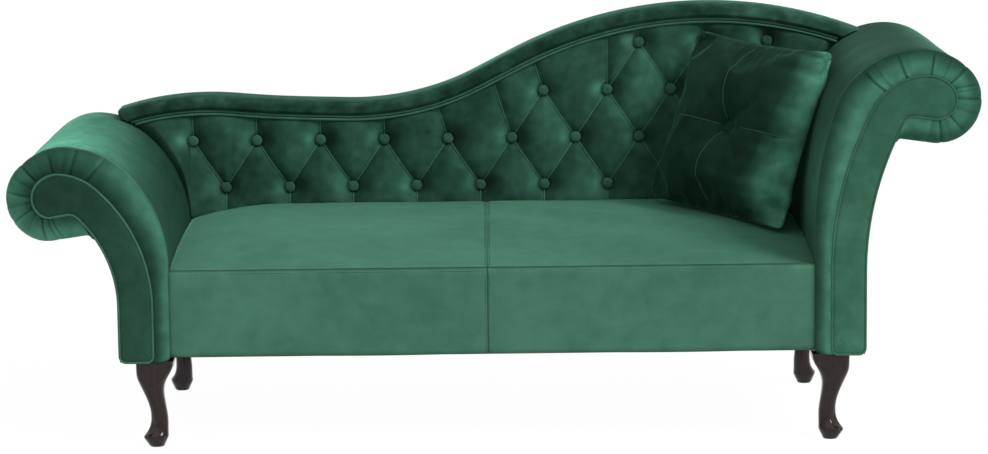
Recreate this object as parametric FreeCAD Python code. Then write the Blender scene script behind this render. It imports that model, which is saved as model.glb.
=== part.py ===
"""Chaise longue with one low and one high scrolled arm, a buttoned back and cabriole legs.

Millimetres, Z up, X along the seat, the front towards -Y, and the origin on the floor under
the middle of the outline.  The timber frame comes first, then the webbing, padding, covers,
piping and buttons that are stretched over it, then the legs and the loose scatter cushion.
"""
import FreeCAD, Part
import math
import os

V = FreeCAD.Vector

# Overall sizes
overall_length = 1800.0      # across the two rolls
overall_depth = 610.0        # arm facings to outside back
arm_width = 300.0            # seat's end to the outermost point of the roll
leg_height = 165.0
low_arm_height = 562.0       # crest of the left roll
high_arm_height = 725.0      # crest of the right roll
back_height = 773.0          # crown of the back

# Arm section, shared by both arms
roll_top_radius = 127.0
roll_radius = 76.0
roll_top_sweep = 45.0
roll_tail_angle = 8.0        # the underside of the roll rises towards the stem
shoulder_radius = 160.0      # inner face into the crest
low_curve_start = 340.0      # height where the inner face leaves the upright
high_curve_start = 390.0
front_bulge = 28.0           # rounding of the padding round the front edge
bulge_steps = 3
rear_round = 8.0
facing_inset = 28.0          # facing edge behind the inner face
facing_drop = 44.0           # facing crest under the roll crest
facing_crest_out = 12.0      # facing crest outside the roll crest
facing_top_radius = 63.0
facing_radius = 36.0
facing_shoulder = 110.0
facing_curve_drop = 70.0     # the facing's curve starts below the padding's
facing_thickness = 8.0
facing_crown = 3.0           # the facing's face is drawn in at its edge
stem_width = 62.0
notch_radius = 14.0
bottom_corner = 12.0
arm_piping_radius = 3.0
cord_sides = 6
board_setback = 2.0          # arm boards behind the facing's edge
outside_panel_thickness = 3.0
rear_cover_thickness = 3.0

# Timber and board
panel_thickness = 18.0
rail_thickness = 22.0
rail_height = 116.0
centre_rail_height = 70.0
arm_rail_thickness = 36.0
arm_board_thickness = 22.0
arm_skin = 4.0               # cover between the arm rail and the seat
slat_width = 44.0
slat_thickness = 20.0
corner_block_leg = 80.0
corner_block_height = 40.0
upright_width = 60.0
upright_thickness = 16.0
upright_spacing = 370.0
upright_foot = 20.0          # uprights and board end above the seat's underside

# Seat
seat_bottom = 170.0
seat_front_setback = 18.0    # seat front behind the arm facings
seat_seam_height = 335.0     # top seam of the front panel
seat_end_height = 354.0      # back edge of the seat beside the arms
seat_crown_height = 384.0    # back edge of the seat in the middle
seat_end_run = 190.0         # length over which the ends rise to the crown
seat_rise = 10.0             # bow of the seat from front to back
seat_seam_fall = 2.0         # the front seam drops at the arms
seat_sections = 7
front_panel_thickness = 5.0
web_width = 50.0
web_thickness = 1.6
web_count_across = 8
web_count_along = 3
dust_cover_thickness = 1.2

# Back
back_pad_depth = 34.0
outside_back_thickness = 4.0
top_rail_height = 32.0
top_rail_proud = 9.0
top_rail_round = 9.0
back_over_arm = 142.0        # the back's ends stand over the arms
crown_radius = 850.0
crown_from_arm = 170.0       # crown of the back to the high arm's inner face
slope_angle = 27.0
slope_run = 83.5
hollow_radius = 500.0
hollow_rise_angle = 3.5
hollow_run = 218.0
hump_radius = 650.0
welt_radius = 2.5
welt_spacing = 8.0

# Deep buttoning
button_pitch_x = 127.0
button_pitch_z = 94.0
button_row_height = 414.0    # lowest row
button_phase_x = 43.0        # one button of the second row
button_row_count = 4
button_edge_margin = 24.0    # least height of padding above a button
button_radius = 11.0
button_dome = 6.0
button_edge = 2.0
button_sides = 8
button_profile = ((0.7, 0.72), (1.0, 0.3))   # a dome's shares of height and radius
tuft_sides = 8
tuft_depth = 16.0
tuft_floor_radius = 12.0
tuft_mouth_radius = 25.0
pleat_depth = 9.0
pleat_half_width = 11.0
pleat_lean = 15.0            # pleats up to the sloping rail lean back

# Legs
leg_block = 68.0
leg_edge_round = 5.0
leg_corner_steps = 4
leg_inset_x = 27.0           # leg axis outside the arm's inner face
leg_inset_y = 43.0           # leg axis behind the facing plane
knee_height = 126.0
knee_half = 29.5
knee_out = 3.0
shin_height = 96.0
shin_half = 16.5
ankle_height = 60.0
ankle_half = 10.5
ankle_in = 9.0               # the ankle stands in from the leg's axis
heel_height = 32.0
heel_half = 12.5
heel_in = 9.0
toe_height = 14.0
toe_half = 22.0
sole_half = 12.0
toe_out = 1.0

# Bolts
bolt_radius = 4.0
rod_sides = 12
bolt_head_radius = 8.0
bolt_head_length = 5.0
bolt_length = 46.0
bolt_inset = 120.0           # bolts in from the ends of a rail
hanger_below = 35.0          # hanger bolt in the leg
hanger_above = 20.0
tee_nut_radius = 9.0
tee_nut_length = 2.0

# Scatter cushion
cushion_side = 350.0
cushion_thickness = 112.0
cushion_edge = 7.0
cushion_draw_in = 12.0
cushion_side_steps = 6
# Shares of the rise, and how far the outline has drawn in there
cushion_crown = ((0.0, 0.0), (0.42, 22.0), (0.74, 54.0), (0.94, 96.0), (1.0, 140.0))
cushion_turn = 45.0          # its face turns out of the corner
cushion_tilt = 5.5           # its lower edge drops towards the front
cushion_lean = 18.0
cushion_from_arm = 119.0     # its middle to the high arm's inner face
cushion_from_back = 163.0    # its middle to the front of the back
cushion_rise = 185.2         # its middle above the end of the seat
cushion_button_radius = 12.0
cushion_button_length = 8.0
cushion_button_dome = 5.0
cushion_button_sink = 14.0

gap = 0.5                    # clearance where one upholstered piece meets another
touch = 0.3                  # clearance of a curved or fitted seat

# Places that follow from the sizes
front_y = -overall_depth / 2
rear_y = overall_depth / 2
inner_x = overall_length / 2 - arm_width
outer_x = inner_x + facing_inset + stem_width
pad_front_y = front_y + facing_thickness
arm_box_front_y = pad_front_y + panel_thickness
arm_box_rear_y = rear_y - rear_cover_thickness - panel_thickness
roll_turn = math.radians(roll_top_sweep)
crest_x = (overall_length / 2 - roll_radius
           - (roll_top_radius - roll_radius) * math.sin(roll_turn))
back_reach = inner_x + back_over_arm
crown_x = inner_x - crown_from_arm
seat_front_y = front_y + seat_front_setback
outside_y = rear_y - outside_back_thickness
board_rear_y = outside_y - upright_thickness
board_front_y = board_rear_y - panel_thickness
back_front_y = board_front_y - back_pad_depth
seat_half = inner_x - gap
frame_front_y = seat_front_y + front_panel_thickness
frame_back_y = back_front_y - gap
frame_bottom = seat_bottom + dust_cover_thickness
frame_top = frame_bottom + rail_height
end_rail_inner = seat_half - rail_thickness
webbing_top = frame_top + 2 * web_thickness
leg_x = inner_x + leg_inset_x
leg_y = rear_y - leg_inset_y
arm_board_top = leg_height + arm_board_thickness
cushion_centre = V(inner_x - cushion_from_arm, back_front_y - cushion_from_back,
                   seat_end_height + cushion_rise)
arm_rail_x = (inner_x + arm_skin, inner_x + arm_skin + arm_rail_thickness)


class Path:
    """Lines and tangent arcs drawn one after another in the XZ plane."""

    def __init__(self, x, z, heading):
        self.x = x
        self.z = z
        self.heading = math.radians(heading)
        self.edges = []

    def point(self):
        return V(self.x, 0, self.z)

    def line(self, length):
        start = self.point()
        self.x += length * math.cos(self.heading)
        self.z += length * math.sin(self.heading)
        self.edges.append(Part.LineSegment(start, self.point()).toShape())
        return self

    def line_to(self, x, z):
        start = self.point()
        self.heading = math.atan2(z - self.z, x - self.x)
        self.x = x
        self.z = z
        self.edges.append(Part.LineSegment(start, self.point()).toShape())
        return self

    def arc(self, radius, sweep):
        """A tangent arc; a positive sweep turns left."""
        start = self.point()
        side = math.copysign(1.0, sweep)
        centre_x = self.x - side * radius * math.sin(self.heading)
        centre_z = self.z + side * radius * math.cos(self.heading)

        def on_arc(turn):
            angle = self.heading + turn - side * math.pi / 2
            return V(centre_x + radius * math.cos(angle), 0, centre_z + radius * math.sin(angle))

        turn = math.radians(sweep)
        middle = on_arc(turn / 2)
        end = on_arc(turn)
        self.edges.append(Part.Arc(start, middle, end).toShape())
        self.x = end.x
        self.z = end.z
        self.heading += turn
        return self

    def wire(self):
        return Part.Wire(self.edges)


def prism(wire, y_low, y_high):
    """The closed XZ outline carried from one depth to another."""
    face = Part.Face(wire)
    face.translate(V(0, y_low, 0))
    return face.extrude(V(0, y_high - y_low, 0))


def box(x, y, z):
    """A block between the pairs of limits x, y and z."""
    return Part.makeBox(x[1] - x[0], y[1] - y[0], z[1] - z[0], V(x[0], y[0], z[0]))


def polygon(centre, across, along, radius, sides):
    """A regular outline round a centre, in the plane of the two directions."""
    points = []
    for side in range(sides):
        turn = 2 * math.pi * (side + 0.5) / sides
        points.append(centre + across * (radius * math.cos(turn))
                      + along * (radius * math.sin(turn)))
    return Part.Wire(Part.makePolygon(points + points[:1]))


def rod(base, direction, radius, length):
    """A bolt's shank or its hole, as a bar with many flats."""
    across = V(1, 0, 0) if abs(direction.z) > 0.5 else V(0, 0, 1)
    outline = polygon(base, across, direction.cross(across), radius, rod_sides)
    return Part.Face(outline).extrude(direction * length)


def mirror_x(shape):
    return shape.mirror(V(0, 0, 0), V(1, 0, 0))


def loft(wires, ruled):
    return Part.makeLoft(wires, True, ruled)


def stack(wires):
    """A closed solid through outlines of matching corners, with flat faces between them."""
    rings = [[vertex.Point for vertex in wire.OrderedVertexes] for wire in wires]
    faces = [Part.Face(wires[0]), Part.Face(wires[-1])]
    for lower, upper in zip(rings, rings[1:]):
        for index in range(len(lower)):
            after = (index + 1) % len(lower)
            corners = [lower[index], lower[after], upper[after], upper[index]]
            faces.append(Part.Face(Part.makePolygon(corners + corners[:1])))
    shell = Part.Shell(faces)
    shell.sewShape()
    solid = Part.Solid(shell)
    if solid.Volume < 0:
        solid.reverse()
    return solid


def piping_cord(path, y, radius):
    """Covered cord along a path of lines and tangent arcs, at one depth."""
    wire = path if isinstance(path, Part.Wire) else path.wire()
    wire = wire.translated(V(0, y, 0))
    first = wire.OrderedEdges[0]
    start = first.valueAt(first.FirstParameter)
    direction = first.tangentAt(first.FirstParameter)
    section = polygon(start, V(0, 1, 0), direction.cross(V(0, 1, 0)), radius, cord_sides)
    return wire.makePipeShell([section], True, False)


def save(name, *shapes):
    """Writes one node; several separate solids share it as a group."""
    solids = [solid for shape in shapes for solid in shape.Solids]
    for solid in solids:
        assert solid.isValid() and solid.Volume > 0, name
    whole = solids[0] if len(solids) == 1 else Part.makeCompound(solids)
    whole.exportStep("parts/" + name + ".step")
    limits = whole.BoundBox
    print("%-24s %2d  x %7.1f %7.1f  y %7.1f %7.1f  z %6.1f %6.1f" % (
        name, len(solids), limits.XMin, limits.XMax, limits.YMin, limits.YMax,
        limits.ZMin, limits.ZMax))


class ArmSection:
    """The section of one arm, drawn on the +X side: its padding, facing and stem."""

    def __init__(self, crest, curve_start):
        self.crest = crest
        self.curve_start = curve_start
        self.facing_crest = crest - facing_drop
        self.facing_start = curve_start - facing_curve_drop
        sweep, radius = self.rise(inner_x + facing_inset, self.facing_start,
                                  crest_x + facing_crest_out, self.facing_crest, facing_shoulder)
        self.stem_sweep = sweep
        self.stem_radius = radius - stem_width
        self.stem_x = inner_x + facing_inset + radius
        self.notch_sweep = 0.0

    def rise(self, x, z, top_x, top_z, shoulder):
        """Sweep and radius of the long arc from the upright to the shoulder arc."""
        across = top_x - x - shoulder
        up = top_z - z - shoulder
        sweep = 2 * math.atan2(across, up)
        return math.degrees(sweep), shoulder + up / math.sin(sweep)

    def outline(self, x, start, top_x, top_z, shoulder, top_radius, end_radius,
                inset, stem_inset, base, corner):
        """Closed outline: up the inner face, over the roll, under it and down the stem."""
        fillet = notch_radius + min(inset, stem_inset)
        x += inset
        top_z -= inset
        shoulder -= inset
        sweep, radius = self.rise(x, start, top_x, top_z, shoulder)
        path = Path(x, base + corner, 90)
        path.line(start - base - corner)
        path.arc(radius, -sweep)
        path.arc(shoulder, sweep - 90)
        path.arc(top_radius - inset, -roll_top_sweep)
        path.arc(end_radius - inset, roll_top_sweep - 180 - roll_tail_angle)

        # The fillet in the notch touches the underside and the outside of the stem
        stem_radius = self.stem_radius + stem_inset
        along = V(math.cos(path.heading), 0, math.sin(path.heading))
        down = V(-along.z, 0, along.x)
        stem_centre = V(self.stem_x, 0, self.facing_start)
        from_centre = path.point() + down * fillet - stem_centre
        half = from_centre.dot(along)
        reach_radius = stem_radius - fillet
        run = -half + math.sqrt(half ** 2 - from_centre.dot(from_centre) + reach_radius ** 2)
        path.line(run)
        fillet_centre = path.point() + down * fillet - stem_centre
        angle = math.degrees(math.atan2(fillet_centre.z, fillet_centre.x))
        turn = (angle + 90 - math.degrees(path.heading)) % 360
        path.arc(fillet, turn)
        path.arc(stem_radius, 180 - angle)
        self.notch_sweep = 180 - angle
        path.line(self.facing_start - base - corner)
        if corner:
            path.arc(corner, -90)
            path.line(path.x - x - corner)
            path.arc(corner, -90)
        else:
            path.line_to(x, base)
        return path.wire()

    def padding(self, inset=0.0, stem_inset=0.0, base=leg_height):
        return self.outline(inner_x, self.curve_start, crest_x, self.crest, shoulder_radius,
                            roll_top_radius, roll_radius, inset, stem_inset, base, 0.0)

    def inside(self, inset, stem_inset, base=leg_height):
        """The facing's outline moved inwards, with a square foot, for what it covers."""
        return self.outline(inner_x + facing_inset, self.facing_start,
                            crest_x + facing_crest_out, self.facing_crest, facing_shoulder,
                            facing_top_radius, facing_radius, inset, stem_inset, base, 0.0)

    def facing(self, inset=0.0):
        """The facing's outline moved inwards, with its lower corners rounded."""
        return self.outline(inner_x + facing_inset, self.facing_start,
                            crest_x + facing_crest_out, self.facing_crest, facing_shoulder,
                            facing_top_radius, facing_radius, inset, inset,
                            leg_height + inset, bottom_corner - inset)

    def stem_strip(self, depth, base):
        """Outline of the panel on the outside of the stem, up to the notch."""
        self.padding()
        sweep = self.notch_sweep
        path = Path(outer_x, base, 90)
        path.line(self.facing_start - base)
        path.arc(self.stem_radius, -sweep)
        path.heading += math.pi / 2
        path.line(depth)
        path.heading += math.pi / 2
        path.arc(self.stem_radius + depth, sweep)
        path.line(self.facing_start - base)
        path.line_to(outer_x, base)
        return path.wire()

    def stem_point(self, share):
        """A point on the middle of the stem, and how far the stem leans there."""
        lean = math.radians(self.stem_sweep * share)
        radius = self.stem_radius + stem_width / 2
        return (self.stem_x - radius * math.cos(lean),
                self.facing_start + radius * math.sin(lean), math.degrees(lean))

    def roll_centre(self):
        step = facing_top_radius - facing_radius
        return (crest_x + facing_crest_out + step * math.sin(roll_turn),
                self.facing_crest - facing_top_radius + step * math.cos(roll_turn))


low_arm = ArmSection(low_arm_height, low_curve_start)
high_arm = ArmSection(high_arm_height, high_curve_start)
arm_lengthways = (arm_box_front_y, arm_box_rear_y)


def arm_padding(arm):
    """Foam and cover round the arm: bulging over the front edge, open where the boards go."""
    wires = []
    for step in range(bulge_steps + 1):
        turn = math.pi / 2 * step / bulge_steps
        wire = arm.padding(front_bulge * (1 - math.sin(turn)))
        wire.translate(V(0, pad_front_y + front_bulge * (1 - math.cos(turn)), 0))
        wires.append(wire)
    straight = arm.padding()
    straight.translate(V(0, rear_y - rear_round, 0))
    wires.append(straight)
    tucked = arm.padding(rear_round / 2)
    tucked.translate(V(0, rear_y, 0))
    wires.append(tucked)
    foam = loft(wires, True)
    through = prism(arm.inside(board_setback, -gap, leg_height - gap), front_y, rear_y + gap)
    rail = box((arm_rail_x[0] - touch, outer_x), (arm_box_front_y, arm_box_rear_y),
               (leg_height - gap, arm_board_top + rail_height + touch))
    foam = foam.cut(through).cut(rail)
    for place in rail_bolt_places():
        foam = foam.cut(bolt_hole(place, V(1, 0, 0), bolt_length))
    return foam


def arm_boards(arm):
    """The scroll-shaped boards at the front and the rear of the arm."""
    inset = board_setback + touch
    stem_inset = outside_panel_thickness + touch
    front = prism(arm.inside(inset, stem_inset), pad_front_y, arm_box_front_y)
    rear = prism(arm.inside(inset, stem_inset), arm_box_rear_y, arm_box_rear_y + panel_thickness)
    return front, rear


def arm_slats(arm):
    """Slats from board to board: three up the stem and one in the roll."""
    slats = []
    places = [arm.stem_point(share) for share in (0.2, 0.6, 1.0)]
    places.append(arm.roll_centre() + (90.0,))
    for x, z, lean in places:
        slat = box((-slat_thickness / 2, slat_thickness / 2), arm_lengthways,
                   (-slat_width / 2, slat_width / 2))
        slat.rotate(V(0, 0, 0), V(0, 1, 0), lean)
        slat.translate(V(x, 0, z))
        slats.append(slat)
    return slats


def bolt(base, direction, length):
    """A bolt whose head bears at the base point."""
    across = V(0, 0, 1)
    head = polygon(base, across, direction.cross(across), bolt_head_radius, 6)
    head = Part.Face(head).extrude(-direction * bolt_head_length)
    return head.fuse(rod(base, direction, bolt_radius, length))


def bolt_hole(base, direction, length):
    return rod(base, direction, bolt_radius + touch, length)


def rail_bolt_places():
    """Bolts that hold the arms to the end rails, on the +X side."""
    height = frame_bottom + rail_height / 2
    return [V(end_rail_inner, y, height) for y in (
        frame_front_y + bolt_inset, frame_back_y - bolt_inset)]


def back_bolt_places():
    """Bolts that hold the back to the rear seat rail."""
    height = frame_bottom + rail_height / 2
    return [V(x, frame_back_y - rail_thickness, height) for x in (
        -seat_half + bolt_inset, seat_half - bolt_inset)]


def arm_rail():
    """The rail low in the arm that the seat frame is bolted to."""
    rail = box(arm_rail_x, arm_lengthways, (arm_board_top, arm_board_top + rail_height))
    for place in rail_bolt_places():
        rail = rail.cut(bolt_hole(place, V(1, 0, 0), bolt_length + gap))
    return rail


def arm_base_board():
    """The board under the arm that carries the legs."""
    board = box((arm_rail_x[0], outer_x - outside_panel_thickness - touch), arm_lengthways,
                (leg_height, arm_board_top))
    for side in (-1, 1):
        base = V(leg_x, side * leg_y, leg_height)
        board = board.cut(bolt_hole(base, V(0, 0, 1), arm_board_thickness))
        recess = base + V(0, 0, arm_board_thickness - tee_nut_length)
        seat = polygon(recess, V(1, 0, 0), V(0, 1, 0), tee_nut_radius + touch, 6)
        board = board.cut(Part.Face(seat).extrude(V(0, 0, tee_nut_length)))
    return board


def facing_panel(arm):
    """The padded, covered panel that closes the front of the arm."""
    wires = []
    for depth, drawn_in in ((facing_thickness, 0.0), (facing_crown, 0.0), (0.0, facing_crown)):
        inset = arm_piping_radius + touch + drawn_in
        wire = arm.facing(inset)
        wire.translate(V(0, front_y + depth, 0))
        wires.append(wire)
    return loft(wires, True)


def facing_piping(arm):
    return piping_cord(arm.facing(), pad_front_y - arm_piping_radius, arm_piping_radius)


def make_arm(name, arm, place):
    padding = arm_padding(arm)
    front, rear = arm_boards(arm)
    outside = prism(arm.stem_strip(outside_panel_thickness, leg_height), pad_front_y, rear_y)
    cover = prism(arm.inside(board_setback + touch, outside_panel_thickness + touch),
                  rear_y - rear_cover_thickness, rear_y)
    save(name + "_padding", place(padding))
    save(name + "_front_board", place(front))
    save(name + "_rear_board", place(rear))
    save(name + "_slats", *[place(slat) for slat in arm_slats(arm)])
    save(name + "_lower_rail", place(arm_rail()))
    save(name + "_base_board", place(arm_base_board()))
    save(name + "_outside_panel", place(outside))
    save(name + "_rear_cover", place(cover))
    save(name + "_facing", place(facing_panel(arm)))
    save(name + "_facing_piping", place(facing_piping(arm)))


def make_seat_frame():
    lengthways = (-seat_half, seat_half)
    front = box(lengthways, (frame_front_y, frame_front_y + rail_thickness),
                (frame_bottom, frame_top))
    rear = box(lengthways, (frame_back_y - rail_thickness, frame_back_y),
               (frame_bottom, frame_top))
    for place in back_bolt_places():
        rear = rear.cut(bolt_hole(place, V(0, 1, 0), rail_thickness))
    across = (frame_front_y + rail_thickness, frame_back_y - rail_thickness)
    end = box((end_rail_inner, seat_half), across, (frame_bottom, frame_top))
    for place in rail_bolt_places():
        end = end.cut(bolt_hole(place, V(1, 0, 0), rail_thickness))
    centre = box((-rail_thickness / 2, rail_thickness / 2), across,
                 (frame_bottom, frame_bottom + centre_rail_height))
    save("front_rail", front)
    save("rear_rail", rear)
    save("left_end_rail", mirror_x(end))
    save("right_end_rail", end)
    save("centre_rail", centre)

    blocks = []
    for side_x in (-1, 1):
        for side_y, corner_y in ((1, across[0]), (-1, across[1])):
            corner_x = -side_x * end_rail_inner
            points = [V(corner_x, corner_y, frame_bottom),
                      V(corner_x + side_x * corner_block_leg, corner_y, frame_bottom),
                      V(corner_x, corner_y + side_y * corner_block_leg, frame_bottom)]
            face = Part.Face(Part.makePolygon(points + points[:1]))
            blocks.append(face.extrude(V(0, 0, corner_block_height)))
    save("corner_blocks", *blocks)

    straps = []
    pitch = 2 * end_rail_inner / web_count_across
    for index in range(web_count_across):
        x = -end_rail_inner + pitch * (index + 0.5)
        straps.append(box((x - web_width / 2, x + web_width / 2), (frame_front_y, frame_back_y),
                          (frame_top, frame_top + web_thickness)))
    save("webbing_across", *straps)
    straps = []
    pitch = (across[1] - across[0]) / web_count_along
    for index in range(web_count_along):
        y = across[0] + pitch * (index + 0.5)
        straps.append(box((-seat_half, seat_half), (y - web_width / 2, y + web_width / 2),
                          (frame_top + web_thickness, webbing_top)))
    save("webbing_along", *straps)


def seat_section(x, back_edge_height, seam_height):
    """The seat's section front to back, with a bowed top."""
    corners = [V(x, frame_front_y, seam_height), V(x, frame_front_y, webbing_top),
               V(x, frame_back_y, webbing_top), V(x, frame_back_y, back_edge_height)]
    middle = (corners[3] + corners[0]) * 0.5 + V(0, 0, seat_rise)
    edges = [Part.LineSegment(corners[i], corners[i + 1]).toShape() for i in range(3)]
    edges.append(Part.Arc(corners[3], middle, corners[0]).toShape())
    return Part.Wire(edges)


def make_seat():
    wires = []
    for step in range(-seat_sections, seat_sections + 1):
        # Sections crowd towards the ends, where the crown falls away
        share = math.sin(math.pi / 2 * step / seat_sections)
        from_end = seat_half * (1 - abs(share))
        fall = max(0.0, 1 - from_end / seat_end_run) ** 2
        back_edge = seat_crown_height - (seat_crown_height - seat_end_height) * fall
        wires.append(seat_section(seat_half * share, back_edge,
                                  seat_seam_height - seat_seam_fall * fall))
    save("seat_cushion", loft(wires, True))
    save("seat_front_panel", box((-seat_half, seat_half), (seat_front_y, frame_front_y),
                                 (seat_bottom, seat_seam_height)))
    save("dust_cover", box((-seat_half, seat_half), (frame_front_y, frame_back_y),
                           (seat_bottom, frame_bottom)))


def top_line(inset):
    """The back's top line from right to left, moved inwards by the inset."""
    end_turn = math.degrees(math.asin((back_reach - crown_x) / crown_radius))
    radius = crown_radius - inset
    turn = math.radians(end_turn)
    path = Path(crown_x + radius * math.sin(turn),
                back_height - crown_radius + radius * math.cos(turn), 180 - end_turn)
    path.arc(radius, end_turn + slope_angle)
    path.line(slope_run)
    path.arc(hollow_radius + inset, -slope_angle - hollow_rise_angle)
    path.line(hollow_run)
    hump_x = path.x - (hump_radius - inset) * math.sin(math.radians(hollow_rise_angle))
    left_turn = math.degrees(math.asin((back_reach + hump_x) / hump_radius))
    path.arc(hump_radius - inset, hollow_rise_angle + left_turn)
    return path


def back_outline(inset, base):
    """The back's outline below the top rail, running down behind the arms."""
    path = top_line(inset)
    start = path.edges[0].valueAt(path.edges[0].FirstParameter)
    path.line_to(path.x, base)
    path.line_to(start.x, base)
    path.line_to(start.x, start.z)
    return path.wire()


def beside_arms(solid):
    """Cuts the back to the arms' inner faces, with the usual clearance."""
    for arm, place in ((low_arm, mirror_x), (high_arm, lambda shape: shape)):
        body = prism(arm.padding(-gap, -gap, 0.0), front_y, rear_y + gap)
        outside = box((crest_x, overall_length), (front_y, rear_y + gap), (0, arm.crest))
        solid = solid.cut(place(body)).cut(place(outside))
    return solid.Solids[0]


def top_line_height(x):
    """Height of the underside of the top rail at x."""
    line = Part.makeLine(V(x, 0, 0), V(x, 0, 2 * back_height))
    underside = top_line(top_rail_height).wire()
    return line.distToShape(underside)[1][0][0].z


def button_places():
    """Buttons stand in rows, each row half a pitch along from the next, under the top rail."""
    places = []
    for row in range(button_row_count):
        z = button_row_height + row * button_pitch_z
        phase = button_phase_x + (0 if row % 2 else button_pitch_x / 2)
        count = int(back_reach / button_pitch_x) + 1
        for step in range(-count, count + 1):
            x = phase + step * button_pitch_x
            arm = low_arm if x < 0 else high_arm
            room = arm_face_at(arm, z) - abs(x)
            if room > tuft_floor_radius and top_line_height(x) - z > button_edge_margin:
                places.append((x, z))
    return places


def arm_face_at(arm, z):
    """Distance from the middle to the arm's inner face at height z."""
    line = Part.makeLine(V(0, 0, z), V(crest_x, 0, z))
    return line.distToShape(arm.padding())[1][0][0].x


def pleat(start, end):
    """A sewn valley in the padding from one button to another place."""
    run = V(end[0] - start[0], 0, end[1] - start[1])
    side = V(-run.z, 0, run.x)
    side.normalize()
    front = V(start[0], back_front_y - gap, start[1])
    widen = (pleat_depth + gap) / pleat_depth
    points = [front + side * pleat_half_width * widen, front - side * pleat_half_width * widen,
              V(start[0], back_front_y + pleat_depth, start[1])]
    return Part.Face(Part.makePolygon(points + points[:1])).extrude(run)


def pleats(places):
    """Pleats join neighbouring buttons and run on to the seat and to the top rail."""
    cuts = []
    half = button_pitch_x / 2
    known = {(round(x), round(z)): (x, z) for x, z in places}
    for x, z in places:
        above = [known.get((round(x + side * half), round(z + button_pitch_z)))
                 for side in (-1, 1)]
        for place in above:
            if place:
                cuts.append(pleat((x, z), place))
        if not above[0] and (round(x), round(z + 2 * button_pitch_z)) not in known:
            rise = top_line_height(x) - z
            slope = top_line_height(x + half) - top_line_height(x - half)
            lean = pleat_lean if slope > half / 2 else 0.0
            cuts.append(pleat((x, z), (x - rise * math.tan(math.radians(lean)), z + rise)))
        if z < button_row_height + button_pitch_z / 2:
            cuts.append(pleat((x, z), (x, webbing_top)))
    return cuts


def ring(x, y, z, radius, sides):
    """A regular outline that faces the front."""
    return polygon(V(x, y, z), V(1, 0, 0), V(0, 0, 1), radius, sides)


def tuft(x, z):
    """The hollow that a button pulls into the padding."""
    mouth = ring(x, back_front_y - gap, z, tuft_mouth_radius, tuft_sides)
    floor = ring(x, back_front_y + tuft_depth, z, tuft_floor_radius, tuft_sides)
    return stack([mouth, floor])


def button(x, z):
    """A cloth-covered button with a domed face, seated on the floor of its tuft."""
    seat_y = back_front_y + tuft_depth
    edge_y = seat_y - button_edge
    levels = [(seat_y, button_radius), (edge_y, button_radius)]
    levels += [(edge_y - button_dome * rise, button_radius * reach)
               for rise, reach in button_profile]
    return stack([ring(x, y, z, radius, button_sides) for y, radius in levels])


def lies_on(edge, path_edges):
    """Whether an edge is one of the path's edges at another depth."""
    centre = edge.CenterOfMass
    for other in path_edges:
        flat = V(other.CenterOfMass.x - centre.x, 0, other.CenterOfMass.z - centre.z)
        if flat.Length < gap:
            return True
    return False


def make_back():
    under_rail = top_rail_height + touch
    board_base = seat_bottom + upright_foot
    pad = beside_arms(prism(back_outline(under_rail, frame_top + gap), back_front_y,
                            board_front_y))
    places = button_places()
    cuts = pleats(places) + [tuft(x, z) for x, z in places]
    pad = pad.cut(cuts)
    save("back_pad", pad)
    save("back_buttons", *[button(x, z) for x, z in places])
    print("buttons", len(places), "pleats", len(cuts) - len(places))

    board = beside_arms(prism(back_outline(under_rail, board_base), board_front_y, board_rear_y))
    save("back_board", board)

    bottom_rail = box((-seat_half, seat_half), (frame_back_y, board_front_y),
                      (board_base, frame_top))
    for place in back_bolt_places():
        bottom_rail = bottom_rail.cut(bolt_hole(place, V(0, 1, 0), bolt_length + gap))
    save("back_bottom_rail", bottom_rail)

    uprights = []
    outline = beside_arms(prism(back_outline(under_rail, board_base), board_rear_y, outside_y))
    for step in (-1.5, -0.5, 0.5, 1.5):
        x = step * upright_spacing
        strip = box((x - upright_width / 2, x + upright_width / 2), (board_rear_y, outside_y),
                    (0, overall_length))
        uprights.append(outline.common(strip))
    save("back_uprights", *uprights)

    outside = beside_arms(prism(back_outline(under_rail, seat_bottom), outside_y, rear_y))
    save("outside_back", outside)

    rail_front_y = back_front_y - top_rail_proud
    upper = top_line(0.0)
    lower = top_line(top_rail_height)
    lower_edges = [edge.copy() for edge in lower.edges]
    upper_start = upper.edges[0].valueAt(upper.edges[0].FirstParameter)
    lower_start = lower.edges[0].valueAt(lower.edges[0].FirstParameter)
    ends = [Part.LineSegment(upper.point(), lower.point()).toShape(),
            Part.LineSegment(lower_start, upper_start).toShape()]
    outline = Part.Wire(Part.__sortEdges__(upper.edges + lower_edges + ends))
    rail = prism(outline, rail_front_y, rear_y)
    top_edges = [edge for edge in rail.Edges
                 if abs(edge.BoundBox.YLength) < gap and lies_on(edge, upper.edges)]
    rail = rail.makeChamfer(top_rail_round, top_edges)
    save("top_rail", beside_arms(rail))

    welts = []
    for index in range(2):
        inset = top_rail_height + welt_radius + touch + index * welt_spacing
        cord = piping_cord(top_line(inset), back_front_y - welt_radius - touch, welt_radius)
        welts.append(beside_arms(cord))
    save("top_rail_piping", *welts)


def leg_section(height, half, corner, out):
    """A square with rounded corners, moved out along the leg's diagonal."""
    inner = half - corner
    points = []
    for quarter in range(4):
        turn = math.pi / 2 * quarter
        along = V(math.cos(turn), math.sin(turn), 0)
        across = V(-along.y, along.x, 0)
        middle = V(out, out, height) + (along + across) * inner
        for step in range(leg_corner_steps + 1):
            round_turn = math.pi / 2 * step / leg_corner_steps
            points.append(middle + (along * math.cos(round_turn)
                                    + across * math.sin(round_turn)) * corner)
    return Part.Wire(Part.makePolygon(points + points[:1]))


def between(before, start, end, after):
    """The value half way from start to end on the smooth line through all four."""
    return (9 * (start + end) - before - after) / 16


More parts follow.
